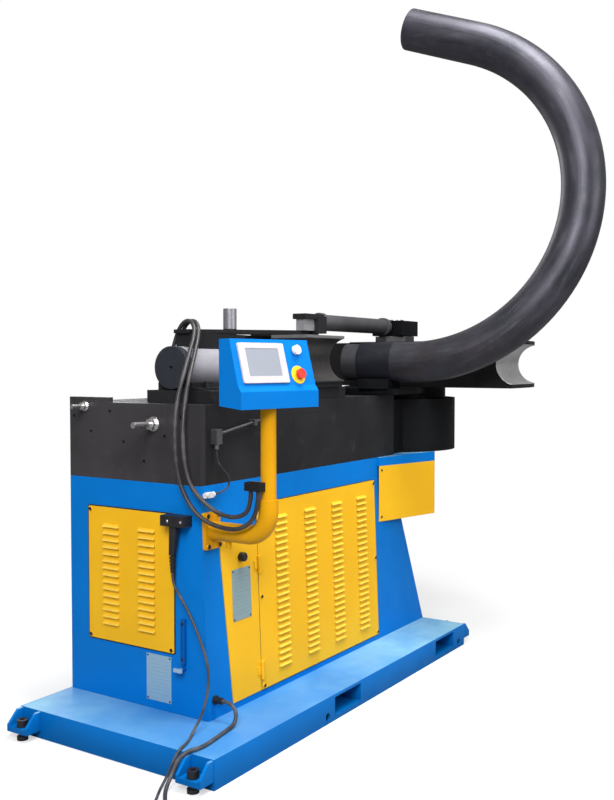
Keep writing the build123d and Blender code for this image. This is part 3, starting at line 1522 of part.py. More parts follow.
# spare length of the two floor cords, coiled in two layers, with the connector at its end
coil_step = 1.25
coil_loops = 3
tail_l = 36
coils = [
    ("pedal", pedal_r, pedal_points, 1, 7.3, 10, 46),
    ("power", power_r, power_points, 1, 7.3, 18, 84),
]
for name, radius, points, side, outer, end_r, end_l in coils:
    arrive = (Vector(*points[-1]) - Vector(*points[-2])).normalized()
    first = Vector(*points[-1]) + arrive * (2 * radius)
    outer_r = outer * 2 * radius
    turns = coil_turns(first, arrive, side, 2 * radius * coil_step, outer_r, coil_loops)
    last = turns[-1][0] + arrive * tail_l
    with BuildPart() as coil:
        with BuildLine() as coil_route:
            Line(points[-1], first)
            for (start, tangent), (end, _) in zip(turns, turns[1:]):
                ThreePointArc(start, (start + end) * 0.5 + tangent * ((end - start).length / 2), end)
            Line(turns[-1][0], last)
        with BuildSketch(Plane(origin=points[-1], z_dir=arrive)):
            Circle(radius)
        sweep(path=coil_route.line)
    print(name, "coil least gap", round(least_gap(turns, radius), 2))
    coil_l = sum(e.length for e in coil_route.edges())
    report_cord(name + "_coil", coil.part, radius, coil_l, [outer_r])
    coil.part.label = name + "_coil"
    export_step(coil.part, "parts/" + name + "_coil.step")
    with BuildPart() as cord_end:
        with BuildSketch(Plane(origin=last, z_dir=arrive)):
            Circle(1.5 * radius)
        extrude(amount=end_l)
        with BuildSketch(Plane(origin=last + arrive * (0.3 * end_l), z_dir=arrive)):
            Circle(end_r)
        extrude(amount=0.7 * end_l)
    cord_end.part.label = name + "_connector"
    export_step(cord_end.part, "parts/" + name + "_connector.step")
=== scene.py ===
"""Pipe bending machine: finishes, small pieces, cables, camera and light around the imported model.

Lengths are in metres, angles in radians, and colours are linear.
"""

import math

import bmesh
import bpy
import numpy as np
from mathutils import Matrix, Vector


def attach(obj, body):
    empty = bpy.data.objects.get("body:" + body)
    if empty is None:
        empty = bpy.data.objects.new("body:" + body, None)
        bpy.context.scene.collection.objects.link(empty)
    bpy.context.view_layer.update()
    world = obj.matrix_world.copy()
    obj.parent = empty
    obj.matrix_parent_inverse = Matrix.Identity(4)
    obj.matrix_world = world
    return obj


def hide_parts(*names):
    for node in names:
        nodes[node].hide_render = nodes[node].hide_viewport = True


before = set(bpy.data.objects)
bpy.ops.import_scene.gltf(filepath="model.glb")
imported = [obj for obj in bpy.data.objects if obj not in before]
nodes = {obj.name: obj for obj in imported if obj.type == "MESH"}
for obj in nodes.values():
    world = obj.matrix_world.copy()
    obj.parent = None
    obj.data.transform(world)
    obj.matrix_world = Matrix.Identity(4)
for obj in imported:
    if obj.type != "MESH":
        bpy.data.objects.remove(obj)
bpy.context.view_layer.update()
scene = bpy.context.scene
scene.view_settings.view_transform = "Standard"


# Places that finishes and pieces share

world_origin = np.zeros(3)
axes = np.eye(3)

side_foot = np.array((0, -0.208, 0.091))
side_head = np.array((0, -0.179, 0.834))
side_x = axes[0]
side_up = (side_head - side_foot) / np.linalg.norm(side_head - side_foot)
side_out = np.cross(side_x, side_up)

pipe_from = np.array((0.5691, -0.2949, 1.226))
pipe_turn = -1.43
pipe_tilt = 0.1
pipe_bend_r = 0.6732
pipe_along = np.array((math.cos(pipe_turn), math.sin(pipe_turn), 0))
pipe_level = np.array((-math.sin(pipe_turn), math.cos(pipe_turn), 0))
pipe_rise = math.cos(pipe_tilt) * axes[2] + math.sin(pipe_tilt) * pipe_level


def on_side(x, up, out):
    """Place on the leaning operator's side: along it, up it and out of it."""
    return side_foot + x * side_x + up * side_up + out * side_out


def span_of(name, from_place, directions):
    """Middle and size of a node along each direction, measured from a place."""
    vertices = nodes[name].data.vertices
    points = np.empty((len(vertices), 3), np.float32)
    vertices.foreach_get("co", points.ravel())
    reach = (points - from_place) @ np.transpose(directions)
    low = reach.min(axis=0)
    high = reach.max(axis=0)
    return (low + high) / 2, high - low


end_mid, end_size = span_of("end_cover", world_origin, axes[1:])
end_columns = (0.205, 0.045)
end_rows = 15
end_pitch = 0.0235
side_mid, side_size = span_of("side_cover", side_foot, (side_x, side_up))
side_columns = (-0.222, -0.034, 0.154, 0.342)
side_rows = 24
side_pitch = 0.0225
hood_width = 0.07
hood_height = 0.013


# Shader building blocks


def plug(tree, socket, value):
    """Links an output socket to the input, or sets the input's value."""
    if isinstance(value, bpy.types.NodeSocket):
        tree.links.new(value, socket)
    else:
        socket.default_value = value


def add(tree, kind, props=None, **inputs):
    """New shader node; inputs are values or output sockets, with _ for a space in a socket's name."""
    made = tree.nodes.new(kind)
    for key, value in (props or {}).items():
        setattr(made, key, value)
    for key, value in inputs.items():
        plug(tree, made.inputs[key.replace("_", " ")], value)
    return made


# A Mix node's sockets for colours
mix_factor_in = 0
mix_first_in = 6
mix_second_in = 7
mix_colour_out = 2


def mix(tree, factor, first, second):
    """Colour between first and second by factor."""
    made = add(tree, "ShaderNodeMix", {"data_type": "RGBA"})
    plug(tree, made.inputs[mix_factor_in], factor)
    plug(tree, made.inputs[mix_first_in], first)
    plug(tree, made.inputs[mix_second_in], second)
    return made.outputs[mix_colour_out]


def maths(tree, operation, first, second=0.0):
    """One Math node's result."""
    made = add(tree, "ShaderNodeMath", {"operation": operation})
    plug(tree, made.inputs[0], first)
    plug(tree, made.inputs[1], second)
    return made.outputs[0]


def times(tree, first, second):
    """Product of two values."""
    return maths(tree, "MULTIPLY", first, second)


def minus(tree, first, second):
    """First value less the second."""
    return maths(tree, "SUBTRACT", first, second)


def squares(tree, first, second):
    """Sum of two values' squares."""
    return maths(tree, "ADD", times(tree, first, first), times(tree, second, second))


def measure(tree, operation, place, other):
    """Number from a place and a fixed vector: their dot product or their distance."""
    made = add(tree, "ShaderNodeVectorMath", {"operation": operation})
    tree.links.new(place, made.inputs[0])
    made.inputs[1].default_value = other
    return made.outputs["Value"]


def ramp(tree, value, low, high, at_low=0.0, at_high=1.0):
    """Value mapped smoothly from low..high to at_low..at_high, and held outside."""
    made = add(tree, "ShaderNodeMapRange", {"interpolation_type": "SMOOTHSTEP"}, Value=value)
    for name, number in (("From Min", low), ("From Max", high), ("To Min", at_low), ("To Max", at_high)):
        made.inputs[name].default_value = number
    return made.outputs[0]


def noise(tree, place, scale, detail, rough=0.55, stretch=(1, 1, 1)):
    """Noise with features of about 1/scale metres, longer along an axis whose stretch is below 1."""
    mapped = add(tree, "ShaderNodeMapping", Vector=place, Scale=stretch).outputs[0]
    made = add(tree, "ShaderNodeTexNoise", Vector=mapped, Scale=scale, Detail=detail, Roughness=rough)
    return made.outputs["Fac"]


def start(name):
    """Empty material with its tree, shader and object coordinates."""
    material = bpy.data.materials.new(name)
    material.use_nodes = True
    tree = material.node_tree
    shader = tree.nodes["Principled BSDF"]
    place = add(tree, "ShaderNodeTexCoord").outputs["Object"]
    return material, tree, shader, place


def relief(tree, shader, height, strength, depth, edge=0.0):
    """Bump of a height from 0 to 1 times the depth, on edges rounded by the given radius."""
    bump = add(tree, "ShaderNodeBump", Height=height, Strength=strength, Distance=depth)
    if edge:
        rounded = add(tree, "ShaderNodeBevel", {"samples": 4}, Radius=edge)
        tree.links.new(rounded.outputs[0], bump.inputs["Normal"])
    tree.links.new(bump.outputs[0], shader.inputs["Normal"])


def axis_of(tree, place, axis):
    """One coordinate of the place."""
    return add(tree, "ShaderNodeSeparateXYZ", Vector=place).outputs[axis]


def upward(tree):
    """1 on faces that look up, where dust lies and a sheen of light from above is painted."""
    normal = add(tree, "ShaderNodeNewGeometry").outputs["Normal"]
    return ramp(tree, axis_of(tree, normal, "Z"), 0.6, 0.95)


def box_mask(tree, place, low, high):
    """1 inside a box of object coordinates, given by its low and high corners (None for an open side)."""
    split = add(tree, "ShaderNodeSeparateXYZ", Vector=place)
    mask = None
    for axis in range(3):
        for limit, operation in ((low[axis], "GREATER_THAN"), (high[axis], "LESS_THAN")):
            if limit is None:
                continue
            test = maths(tree, operation, split.outputs[axis], limit)
            mask = test if mask is None else times(tree, mask, test)
    return mask


def circle_mask(tree, first, second, centre, radius):
    """1 within a circle of the two coordinates."""
    reach = squares(tree, minus(tree, first, centre[0]), minus(tree, second, centre[1]))
    return maths(tree, "LESS_THAN", reach, radius * radius)


def dimmed(colour, share):
    """Colour at a share of its brightness."""
    return tuple(share * channel for channel in colour[:3]) + (1,)


# Finishes

darkening_top = 0.1
dust_and_sheen_from = 0.08
dust_and_sheen_full = 0.088
trodden = (-0.45, -0.406, 0.091)
trodden_r = 0.35
untrodden_r = 1.0
trodden_share = 0.34


def dust_and_sheen_cover(tree, place, dust_and_sheen):
    """Share of dust and painted sheen on upward faces above the fork pockets, thinner where the skid is
    trodden.
    """
    cover = ramp(tree, noise(tree, place, 7.0, detail=6), 0.25, 0.8, 0.5 * dust_and_sheen, dust_and_sheen)
    above = ramp(tree, axis_of(tree, place, "Z"), dust_and_sheen_from, dust_and_sheen_full)
    step = measure(tree, "DISTANCE", place, trodden)
    kept = times(tree, cover, ramp(tree, step, trodden_r, untrodden_r, trodden_share, 1.0))
    return times(tree, times(tree, upward(tree), above), kept)


def paint(name, colour, shade, rough, gloss=0.14, dust_and_sheen=0.0, dust_and_sheen_colour=None):
    """Sprayed enamel: faint mottling and runs in shade, orange peel, colour darker towards the floor, dust
    and painted sheen on top.
    """
    material, tree, shader, place = start(name)
    cloud = noise(tree, place, 3.0, detail=5)
    fine = noise(tree, place, 60.0, detail=3)
    run = noise(tree, place, 12.0, detail=6, rough=0.6, stretch=(1, 1, 0.15))
    tone = mix(tree, ramp(tree, cloud, 0.3, 0.75), shade, colour)
    tone = mix(tree, ramp(tree, fine, 0.35, 0.8, 0.0, 0.1), tone, shade)
    tone = mix(tree, ramp(tree, run, 0.55, 0.8, 0.0, 0.18), tone, shade)
    # Colour darker towards the floor, fading out 0.1 m up
    low_darkening = ramp(tree, axis_of(tree, place, "Z"), 0.0, darkening_top, 0.5, 0.0)
    tone = mix(tree, low_darkening, tone, dimmed(shade, 0.35))
    # Dust together with a painted sheen of light from above, on upward faces
    if dust_and_sheen:
        tone = mix(tree, dust_and_sheen_cover(tree, place, dust_and_sheen), tone, dust_and_sheen_colour)
    tree.links.new(tone, shader.inputs["Base Color"])
    haze = ramp(tree, noise(tree, place, 9.0, detail=5), 0.3, 0.7, rough - 0.06, rough + 0.1)
    tree.links.new(haze, shader.inputs["Roughness"])
    shader.inputs["Specular IOR Level"].default_value = gloss
    peel = noise(tree, place, 420.0, detail=2)
    relief(tree, shader, peel, strength=0.1, depth=0.0006, edge=0.002)
    return material


def worn_black(name, colour, rub, rough=0.48, grain=14.0, gloss=0.16):
    """Blackened plate: dark paint with dimmer clouds, and stains and drips in the rubbed tone."""
    material, tree, shader, place = start(name)
    stain = noise(tree, place, grain, detail=7, rough=0.65)
    broad = noise(tree, place, 2.6, detail=4)
    drip = noise(tree, place, 16.0, detail=5, rough=0.6, stretch=(1, 1, 0.12))
    tone = mix(tree, ramp(tree, broad, 0.35, 0.68), colour, dimmed(colour, 0.6))
    tone = mix(tree, ramp(tree, stain, 0.58, 0.8, 0.0, 0.4), tone, rub)
    tone = mix(tree, ramp(tree, drip, 0.62, 0.76, 0.0, 0.2), tone, rub)
    tree.links.new(tone, shader.inputs["Base Color"])
    haze = ramp(tree, stain, 0.35, 0.75, rough - 0.1, rough + 0.16)
    tree.links.new(haze, shader.inputs["Roughness"])
    shader.inputs["Specular IOR Level"].default_value = gloss
    pits = noise(tree, place, 160.0, detail=4)
    relief(tree, shader, pits, strength=0.2, depth=0.0008, edge=0.003)
    return material


def machined(name, colour, shade, rough, stretch=(0.03, 1, 1), edge=0.0015, metal=0.9):
    """Turned or milled steel: fine tool marks across one direction, with a little tarnish."""
    material, tree, shader, place = start(name)
    marks = noise(tree, place, 900.0, detail=2, rough=0.5, stretch=stretch)
    cloud = noise(tree, place, 12.0, detail=6, rough=0.6)
    tone = mix(tree, ramp(tree, cloud, 0.4, 0.72), colour, shade)
    tone = mix(tree, ramp(tree, marks, 0.3, 0.7, 0.0, 0.25), tone, shade)
    tree.links.new(tone, shader.inputs["Base Color"])
    shader.inputs["Metallic"].default_value = metal
    haze = ramp(tree, cloud, 0.3, 0.75, rough - 0.06, rough + 0.16)
    tree.links.new(haze, shader.inputs["Roughness"])
    relief(tree, shader, marks, strength=0.12, depth=0.0004, edge=edge)
    return material


def moulded(name, colour, rough=0.4, grain=700.0, depth=0.0003, wear=0.35):
    """Moulded plastic with a fine spark-eroded grain and slight handling wear."""
    material, tree, shader, place = start(name)
    cloud = noise(tree, place, 30.0, detail=4)
    worn = tuple(min(1, 1.25 * channel + 0.008) for channel in colour[:3]) + (1,)
    tone = mix(tree, ramp(tree, cloud, 0.4, 0.75, 0.0, wear), colour, worn)
    tree.links.new(tone, shader.inputs["Base Color"])
    haze = ramp(tree, cloud, 0.3, 0.7, rough - 0.15 * wear, rough + 0.3 * wear)
    tree.links.new(haze, shader.inputs["Roughness"])
    shader.inputs["Specular IOR Level"].default_value = 0.35
    sparks = noise(tree, place, grain, detail=2)
    relief(tree, shader, sparks, strength=0.2, depth=depth, edge=0.001)
    return material


def patched(material, colour, mask_of, rough=0.42, metal=0.0):
    """Second colour of a finish, where mask_of(tree, place) is 1, with a little mottling of its own."""
    tree = material.node_tree
    shader = tree.nodes["Principled BSDF"]
    place = add(tree, "ShaderNodeTexCoord").outputs["Object"]
    mask = mask_of(tree, place)
    mottle = ramp(tree, noise(tree, place, 45.0, detail=5), 0.35, 0.7, 0.0, 0.5)
    second = mix(tree, mottle, colour, dimmed(colour, 0.72))
    for name, value in (("Base Color", second), ("Roughness", rough), ("Metallic", metal)):
        socket = shader.inputs[name]
        first = socket.links[0].from_socket if socket.is_linked else socket.default_value
        if name == "Base Color":
            result = mix(tree, mask, first, value)
        else:
            keep = times(tree, minus(tree, 1.0, mask), first)
            result = maths(tree, "ADD", keep, times(tree, mask, value))
        tree.links.new(result, socket)
    return material


def within(low, high):
    """Mask for patched: 1 inside a box."""
    return lambda tree, place: box_mask(tree, place, low, high)


# Plain enamels, metals and plastics

even = (1, 1, 1)
blue_tones = ((0.001, 0.168, 0.57, 1), (0.001, 0.15, 0.5, 1))
# Pale blue for dust and for the painted sheen of light from above on top faces
blue_dust_and_sheen = (0.36, 0.66, 0.7, 1)
blue = paint("blue_enamel", *blue_tones, rough=0.36, gloss=0.07, dust_and_sheen=0.72, dust_and_sheen_colour=blue_dust_and_sheen)
yellow_tones = ((0.83, 0.46, 0.014, 1), (0.77, 0.41, 0.011, 1))
yellow_rough = 0.4
yellow = paint("yellow_enamel", *yellow_tones, rough=yellow_rough)

black = worn_black("black_frame", (0.02, 0.02, 0.022, 1), (0.06, 0.056, 0.054, 1))
nose_black = worn_black("nose_black", (0.006, 0.0065, 0.0075, 1), (0.016, 0.016, 0.018, 1), gloss=0.08)
brown_tones = ((0.045, 0.042, 0.046, 1), (0.1, 0.088, 0.082, 1))
brown_black = worn_black("end_plate_black", *brown_tones, rough=0.46, grain=9.0)
tie_grey = worn_black("tie_grey", (0.075, 0.075, 0.082, 1), (0.12, 0.12, 0.125, 1), rough=0.4)
iron = worn_black("motor_iron", (0.05, 0.06, 0.08, 1), (0.1, 0.1, 0.1, 1))

bright = machined("bright_steel", (0.66, 0.65, 0.64, 1), (0.42, 0.41, 0.41, 1), rough=0.26)
aluminium_tones = ((0.5, 0.5, 0.52, 1), (0.34, 0.34, 0.36, 1))
aluminium = machined(
    "milled_aluminium", *aluminium_tones, rough=0.36, stretch=(1, 1, 0.05), edge=0.001, metal=0.6
)
switch_metal = machined("switch_metal", (0.2, 0.2, 0.21, 1), (0.1, 0.1, 0.11, 1), rough=0.4)
oxide_tones = ((0.03, 0.03, 0.033, 1), (0.015, 0.015, 0.017, 1))
black_oxide = machined("black_oxide", *oxide_tones, rough=0.4, stretch=even, edge=0.001, metal=0.5)

black_plastic = moulded("black_plastic", (0.013, 0.013, 0.014, 1))
bezel_white = moulded("bezel_white", (0.48, 0.46, 0.5, 1))
button_white = moulded("button_white", (0.78, 0.78, 0.76, 1), rough=0.3)
ring_yellow = moulded("ring_yellow", (0.86, 0.56, 0.02, 1))
stop_red = moulded("stop_red", (0.68, 0.035, 0.02, 1), rough=0.28)
screen_tone = (0.255, 0.27, 0.315, 1)
screen_grey = moulded("screen_grey", screen_tone, rough=0.3, grain=300.0, depth=0.00002, wear=0.04)
rubber = moulded("seal_rubber", (0.02, 0.02, 0.022, 1), rough=0.55)


# Finishes of two colours, parted by boxes

anywhere = (None, None, None)
cable_block = within((None, -0.42, 0.8345), (-0.6315, -0.36, 0.864))
barrel_cap = within(anywhere, (-0.54, None, None))
beam_pin = within((-0.275, -0.016, 1.344), (-0.225, 0.034, None))
shaft_nut = within((None, None, 1.3175), (None, None, 1.3445))
upper_gland = within((None, None, 0.7), anywhere)
drain_cock = within(anywhere, (-0.665, None, 0.2605))
press_rim = within((None, None, 1.314), anywhere)

arm_yellow = paint("arm_yellow", (0.64, 0.31, 0.005, 1), (0.57, 0.265, 0.004, 1), rough=0.36, gloss=0.1)
patched(arm_yellow, (0.014, 0.014, 0.015, 1), cable_block)
barrel_tones = ((0.38, 0.37, 0.41, 1), (0.28, 0.28, 0.31, 1))
barrel_grey = machined("boost_barrel", *barrel_tones, rough=0.42, stretch=even, metal=0.35)
patched(barrel_grey, (0.017, 0.02, 0.028, 1), barrel_cap)
beam_black = worn_black("beam_black", (0.018, 0.018, 0.02, 1), (0.05, 0.05, 0.05, 1))
patched(beam_black, (0.3, 0.295, 0.32, 1), beam_pin, rough=0.36, metal=0.6)
shaft_tones = ((0.6, 0.59, 0.58, 1), (0.4, 0.39, 0.39, 1))
shaft_steel = machined("shaft_steel", *shaft_tones, rough=0.28, stretch=(1, 1, 0.03))
patched(shaft_steel, (0.03, 0.03, 0.033, 1), shaft_nut)
gland_plastic = moulded("gland_plastic", (0.013, 0.013, 0.014, 1))
patched(gland_plastic, (0.72, 0.72, 0.72, 1), upper_gland)
gauge_blue = paint("gauge_blue", (0.001, 0.105, 0.4, 1), (0.001, 0.08, 0.32, 1), rough=0.3, gloss=0.1)
patched(gauge_blue, (0.36, 0.52, 0.68, 1), drain_cock, rough=0.3, metal=0.4)


# Bend die, pressure die and plug, with their worn grooves and shank

shaft_mid, _ = span_of("main_shaft", world_origin, axes)
die_mid, _ = span_of("bend_die", world_origin, axes)
die_r = 0.64
die_groove_r = 0.0853
press_groove_y = -0.2146
press_groove_z = 1.236
press_groove_r = 0.0812
shank_along = 0.1592


def die_groove(tree, place):
    """1 on the groove round the die and on its straight start."""
    x, y, z = (axis_of(tree, place, axis) for axis in "XYZ")
    out = maths(tree, "MAXIMUM", minus(tree, x, shaft_mid[0]), 0.0)
    reach = maths(tree, "SQRT", squares(tree, out, minus(tree, y, shaft_mid[1])))
    return circle_mask(tree, reach, z, (die_r, die_mid[2]), die_groove_r)


def press_groove(tree, place):
    """1 on the pressure die's groove."""
    y, z = (axis_of(tree, place, axis) for axis in "YZ")
    return circle_mask(tree, y, z, (press_groove_y, press_groove_z), press_groove_r)


def shank(tree, place):
    """1 on the plug's shank, past the plug's own end."""
    return maths(tree, "LESS_THAN", measure(tree, "DOT_PRODUCT", place, pipe_along), shank_along)


die_black = worn_black("die_black", (0.012, 0.012, 0.013, 1), (0.035, 0.034, 0.034, 1))
patched(die_black, (0.6, 0.59, 0.59, 1), die_groove, rough=0.34, metal=0.75)
press_black = worn_black("press_black", (0.022, 0.022, 0.025, 1), (0.05, 0.05, 0.05, 1))
patched(press_black, (0.085, 0.08, 0.078, 1), press_groove, rough=0.3, metal=0.6)
patched(press_black, (0.17, 0.168, 0.17, 1), press_rim, rough=0.4, metal=0.3)
plug_black = worn_black("plug_black", (0.013, 0.013, 0.019, 1), (0.032, 0.031, 0.035, 1), rough=0.4)
patched(plug_black, (0.07, 0.069, 0.078, 1), shank, rough=0.34, metal=0.5)


# Louvred covers

# Painted shadow under each hood, and painted highlight on each hood's slope
painted_hood_shadow = (0.28, 0.105, 0.004, 1)
painted_hood_highlight = (0.98, 0.66, 0.1, 1)


def louvre_strips(tree, level, across, columns, rows, pitch):
    """Masks of the painted shadow on the sheet under the hoods and of the painted highlight on their slopes;
    level is from mid height.
    """
    row = maths(tree, "FRACT", maths(tree, "ADD", maths(tree, "DIVIDE", level, pitch), rows / 2))
    lip = 0.5 - hood_height / 2 / pitch
    beside = None
    for column in columns:
        off = maths(tree, "ABSOLUTE", minus(tree, across, column))
        beside = off if beside is None else maths(tree, "MINIMUM", beside, off)
    in_rows = maths(tree, "LESS_THAN", maths(tree, "ABSOLUTE", level), rows * pitch / 2)
    in_strip = times(tree, in_rows, maths(tree, "LESS_THAN", beside, hood_width / 2))
    on_hood = maths(tree, "GREATER_THAN", row, lip)
    # Painted shadow on the sheet just below each hood's lip
    shade = ramp(tree, row, lip - 0.2, lip - 0.04, 0.0, 0.85)
    under = times(tree, shade, minus(tree, 1.0, on_hood))
    # Painted highlight on each hood's slope, palest at its lip
    slope = times(tree, on_hood, ramp(tree, row, lip, lip + hood_height / pitch, 0.75, 0.0))
    return times(tree, in_strip, under), times(tree, in_strip, slope)


def end_strips(tree, place):
    """Louvre strips of the end cover."""
    level = minus(tree, axis_of(tree, place, "Z"), end_mid[1])
    return louvre_strips(tree, level, axis_of(tree, place, "Y"), end_columns, end_rows, end_pitch)


def side_strips(tree, place):
    """Louvre strips of the leaning side cover."""
    rise = measure(tree, "DOT_PRODUCT", place, side_up)
    level = minus(tree, rise, side_foot @ side_up + side_mid[1])
    return louvre_strips(tree, level, axis_of(tree, place, "X"), side_columns, side_rows, side_pitch)


def louvred(name, strips_of):
    """Yellow enamel of a louvred cover: painted shadow under the hoods, and painted highlight on the hoods.
    """
    made = paint(name, *yellow_tones, rough=yellow_rough)
    patched(made, painted_hood_shadow, lambda tree, place: strips_of(tree, place)[0])
    return patched(made, painted_hood_highlight, lambda tree, place: strips_of(tree, place)[1])


end_yellow = louvred("end_cover_yellow", end_strips)
side_yellow = louvred("side_cover_yellow", side_strips)


# Pipe steel and bare plates

angle_shrink = 0.13
held_z = 1.2
free_z = 1.5
rule_margin_across = 0.011
rule_margin_up = 0.014
rule_step = 0.006
rule_t = 0.0006
rivet_inset = 0.006
rivet_r = 0.0033


def round_bend(tree, place):
    """Radius from the pipe's bend centre, distance beside its plane, and a much shrunk angle round it."""
    centre = pipe_from + pipe_bend_r * pipe_rise
    parts = []
    for direction in (pipe_along, pipe_rise, np.cross(pipe_along, pipe_rise)):
        parts.append(minus(tree, measure(tree, "DOT_PRODUCT", place, direction), centre @ direction))
    across, up, beside = parts
    reach = maths(tree, "SQRT", squares(tree, across, up))
    angle = times(tree, maths(tree, "ARCTAN2", up, across), angle_shrink)
    return add(tree, "ShaderNodeCombineXYZ", X=reach, Y=beside, Z=angle).outputs[0]


def mill_scale(name):
    """Pipe steel: blue-grey scale with long drawing streaks, and rust toward its held end."""
    material, tree, shader, place = start(name)
    broad = noise(tree, place, 5.0, detail=5)
    speck = noise(tree, place, 60.0, detail=6, rough=0.65)
    streak = noise(tree, round_bend(tree, place), 34.0, detail=5, rough=0.6)
    tone = mix(tree, ramp(tree, broad, 0.35, 0.7), (0.056, 0.053, 0.068, 1), (0.03, 0.031, 0.041, 1))
    tone = mix(tree, ramp(tree, speck, 0.5, 0.75, 0.0, 0.25), tone, (0.085, 0.083, 0.1, 1))
    tone = mix(tree, ramp(tree, streak, 0.54, 0.76, 0.0, 0.45), tone, (0.13, 0.126, 0.145, 1))
    tone = mix(tree, ramp(tree, streak, 0.46, 0.28, 0.0, 0.45), tone, (0.02, 0.02, 0.027, 1))
    low = ramp(tree, axis_of(tree, place, "Z"), held_z, free_z, 1.0, 0.0)
    tone = mix(tree, times(tree, low, 0.4), tone, (0.016, 0.018, 0.021, 1))
    rust = ramp(tree, noise(tree, place, 14.0, detail=6, rough=0.65), 0.45, 0.62, 0.0, 0.4)
    tone = mix(tree, times(tree, low, rust), tone, (0.038, 0.024, 0.02, 1))
    tree.links.new(tone, shader.inputs["Base Color"])
    shader.inputs["Metallic"].default_value = 0.6
    tree.links.new(ramp(tree, streak, 0.3, 0.7, 0.36, 0.5), shader.inputs["Roughness"])
    relief(tree, shader, speck, strength=0.08, depth=0.0004, edge=0.001)
    return material


def plate_tag(name, node, across, tone):
    """Bare aluminium plate: brushed field, ruled rows inside a margin, and four dark rivets."""
    material, tree, shader, place = start(name)
    middle, size = span_of(node, world_origin, (across, axes[2]))
    half_across, half_up = size / 2
    level = axis_of(tree, place, "Z")
    beside = measure(tree, "DOT_PRODUCT", place, across)
    off_beside = maths(tree, "ABSOLUTE", minus(tree, beside, middle[0]))
    off_level = maths(tree, "ABSOLUTE", minus(tree, level, middle[1]))
    brush = noise(tree, place, 700.0, detail=2, rough=0.5, stretch=(0.04, 0.04, 1))
    colour = mix(tree, ramp(tree, brush, 0.3, 0.7, 0.0, 0.35), tone, dimmed(tone, 0.75))
    in_row = maths(tree, "LESS_THAN", off_beside, half_across - rule_margin_across)
    in_field = times(tree, in_row, maths(tree, "LESS_THAN", off_level, half_up - rule_margin_up))
    on_rule = maths(tree, "LESS_THAN", maths(tree, "PINGPONG", level, rule_step), rule_t)
    rule = times(tree, in_field, on_rule)
    colour = mix(tree, times(tree, rule, 0.3), colour, (0.05, 0.09, 0.13, 1))
    rivet = circle_mask(tree, off_beside, off_level, size / 2 - rivet_inset, rivet_r)
    colour = mix(tree, rivet, colour, (0.03, 0.03, 0.032, 1))
    tree.links.new(colour, shader.inputs["Base Color"])
    shader.inputs["Metallic"].default_value = 0.35
    tree.links.new(ramp(tree, brush, 0.3, 0.7, 0.34, 0.48), shader.inputs["Roughness"])
    relief(tree, shader, brush, strength=0.1, depth=0.0002, edge=0.0006)
    return material


# Which node has which finish

finish_of = {
    blue: ["base_skid", "cabinet", "console_box", "console_rear", "oil_tank"],
    yellow: ["side_door", "head_cover", "door_hinges"],
    end_yellow: ["end_cover"],
    side_yellow: ["side_cover"],
    arm_yellow: ["console_arm"],
    black: ["frame_channel", "top_plate", "bed_plate", "boost_saddle", "boost_carriage", "drive_barrel"],
    nose_black: ["nose_housing", "nose_cap", "turntable", "tie_head"],
    beam_black: ["overhead_beam"],
    die_black: ["bend_die"],
    press_black: ["pressure_die"],
    plug_black: ["pipe_plug"],
    tie_grey: ["tie_cylinder"],
    brown_black: ["end_plate"],
    bright: ["tension_studs", "drive_pinion", "drive_rack", "boost_rod"],
    shaft_steel: ["main_shaft"],
    barrel_grey: ["boost_cylinder"],
    mill_scale("mill_scale"): ["bent_pipe"],
    aluminium: ["valve_block"],
    switch_metal: ["limit_switch"],
    black_oxide: ["levelling_bolts"],
    iron: ["pump_motor"],
    plate_tag("door_plate", "door_tag", axes[0], (0.27, 0.38, 0.4, 1)): ["door_tag"],
    plate_tag("end_plate_tag", "end_tag", axes[1], (0.32, 0.5, 0.62, 1)): ["end_tag"],
    black_plastic: ["door_knob", "connector_base", "connector_plug", "pedal_connector", "power_connector"],
    gland_plastic: ["cable_glands"],
    gauge_blue: ["oil_gauge"],
    bezel_white: ["hmi_bezel"],
    screen_grey: ["hmi_screen"],
    button_white: ["push_button"],
    ring_yellow: ["estop_ring"],
    stop_red: ["estop_button"],
}
for finish, names in finish_of.items():
    for name in names:
        mesh = nodes[name].data
        mesh.materials.clear()
        mesh.materials.append(finish)


# Small pieces as grid surfaces, beyond the modelled solids

pole_gap = 1e-6
seal_steps = 64
seal_sides = 8
dome_rows = 11
dome_columns = 24
askew = (0.31, 0.17, 0.94)


def grid_piece(name, points, finish, ring=False):
    """Fixed piece from rows x columns x 3 points: round its columns, and round its rows or pole to pole."""
    rows, columns = points.shape[:2]
    index = np.arange(rows * columns).reshape(rows, columns)
    here = index if ring else index[:-1]
    below = np.roll(index, -1, axis=0) if ring else index[1:]
    quads = np.stack([here, below, np.roll(below, -1, 1), np.roll(here, -1, 1)], axis=-1).reshape(-1, 4)
    mesh = bpy.data.meshes.new(name)
    mesh.from_pydata(points.reshape(-1, 3), [], quads)
    shell = bmesh.new()
    shell.from_mesh(mesh)
    bmesh.ops.remove_doubles(shell, verts=shell.verts, dist=pole_gap)
    shell.to_mesh(mesh)
    shell.free()
    mesh.shade_smooth()
    mesh.materials.append(finish)
    made = bpy.data.objects.new(name, mesh)
    scene.collection.objects.link(made)
    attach(made, "machine")
    return made


def seal(name, middle, across, up, size, corner, radius, breadth=None):
    """Rubber band round a rectangle that lies along across and up.

    p(t, a) = c(t) + r cos a n(t) + b sin a k, where c has rounded corners and k is normal to the rectangle.
    """
    turn = np.linspace(0, 2 * np.pi, seal_steps, endpoint=False)
    normal = np.c_[np.cos(turn), np.sin(turn)]
    centre = np.sign(normal) * (np.array(size) / 2 - corner) + corner * normal
    plane = np.array([across, up], float)
    out = np.cross(plane[0], plane[1])
    angle = np.linspace(0, 2 * np.pi, seal_sides, endpoint=False)
    points = (
        np.array(middle)
        + (centre @ plane)[:, None]
        + radius * np.cos(angle)[None, :, None] * (normal @ plane)[:, None]
        + (breadth or radius) * np.sin(angle)[None, :, None] * out
    )
    return grid_piece(name, points, rubber, ring=True)


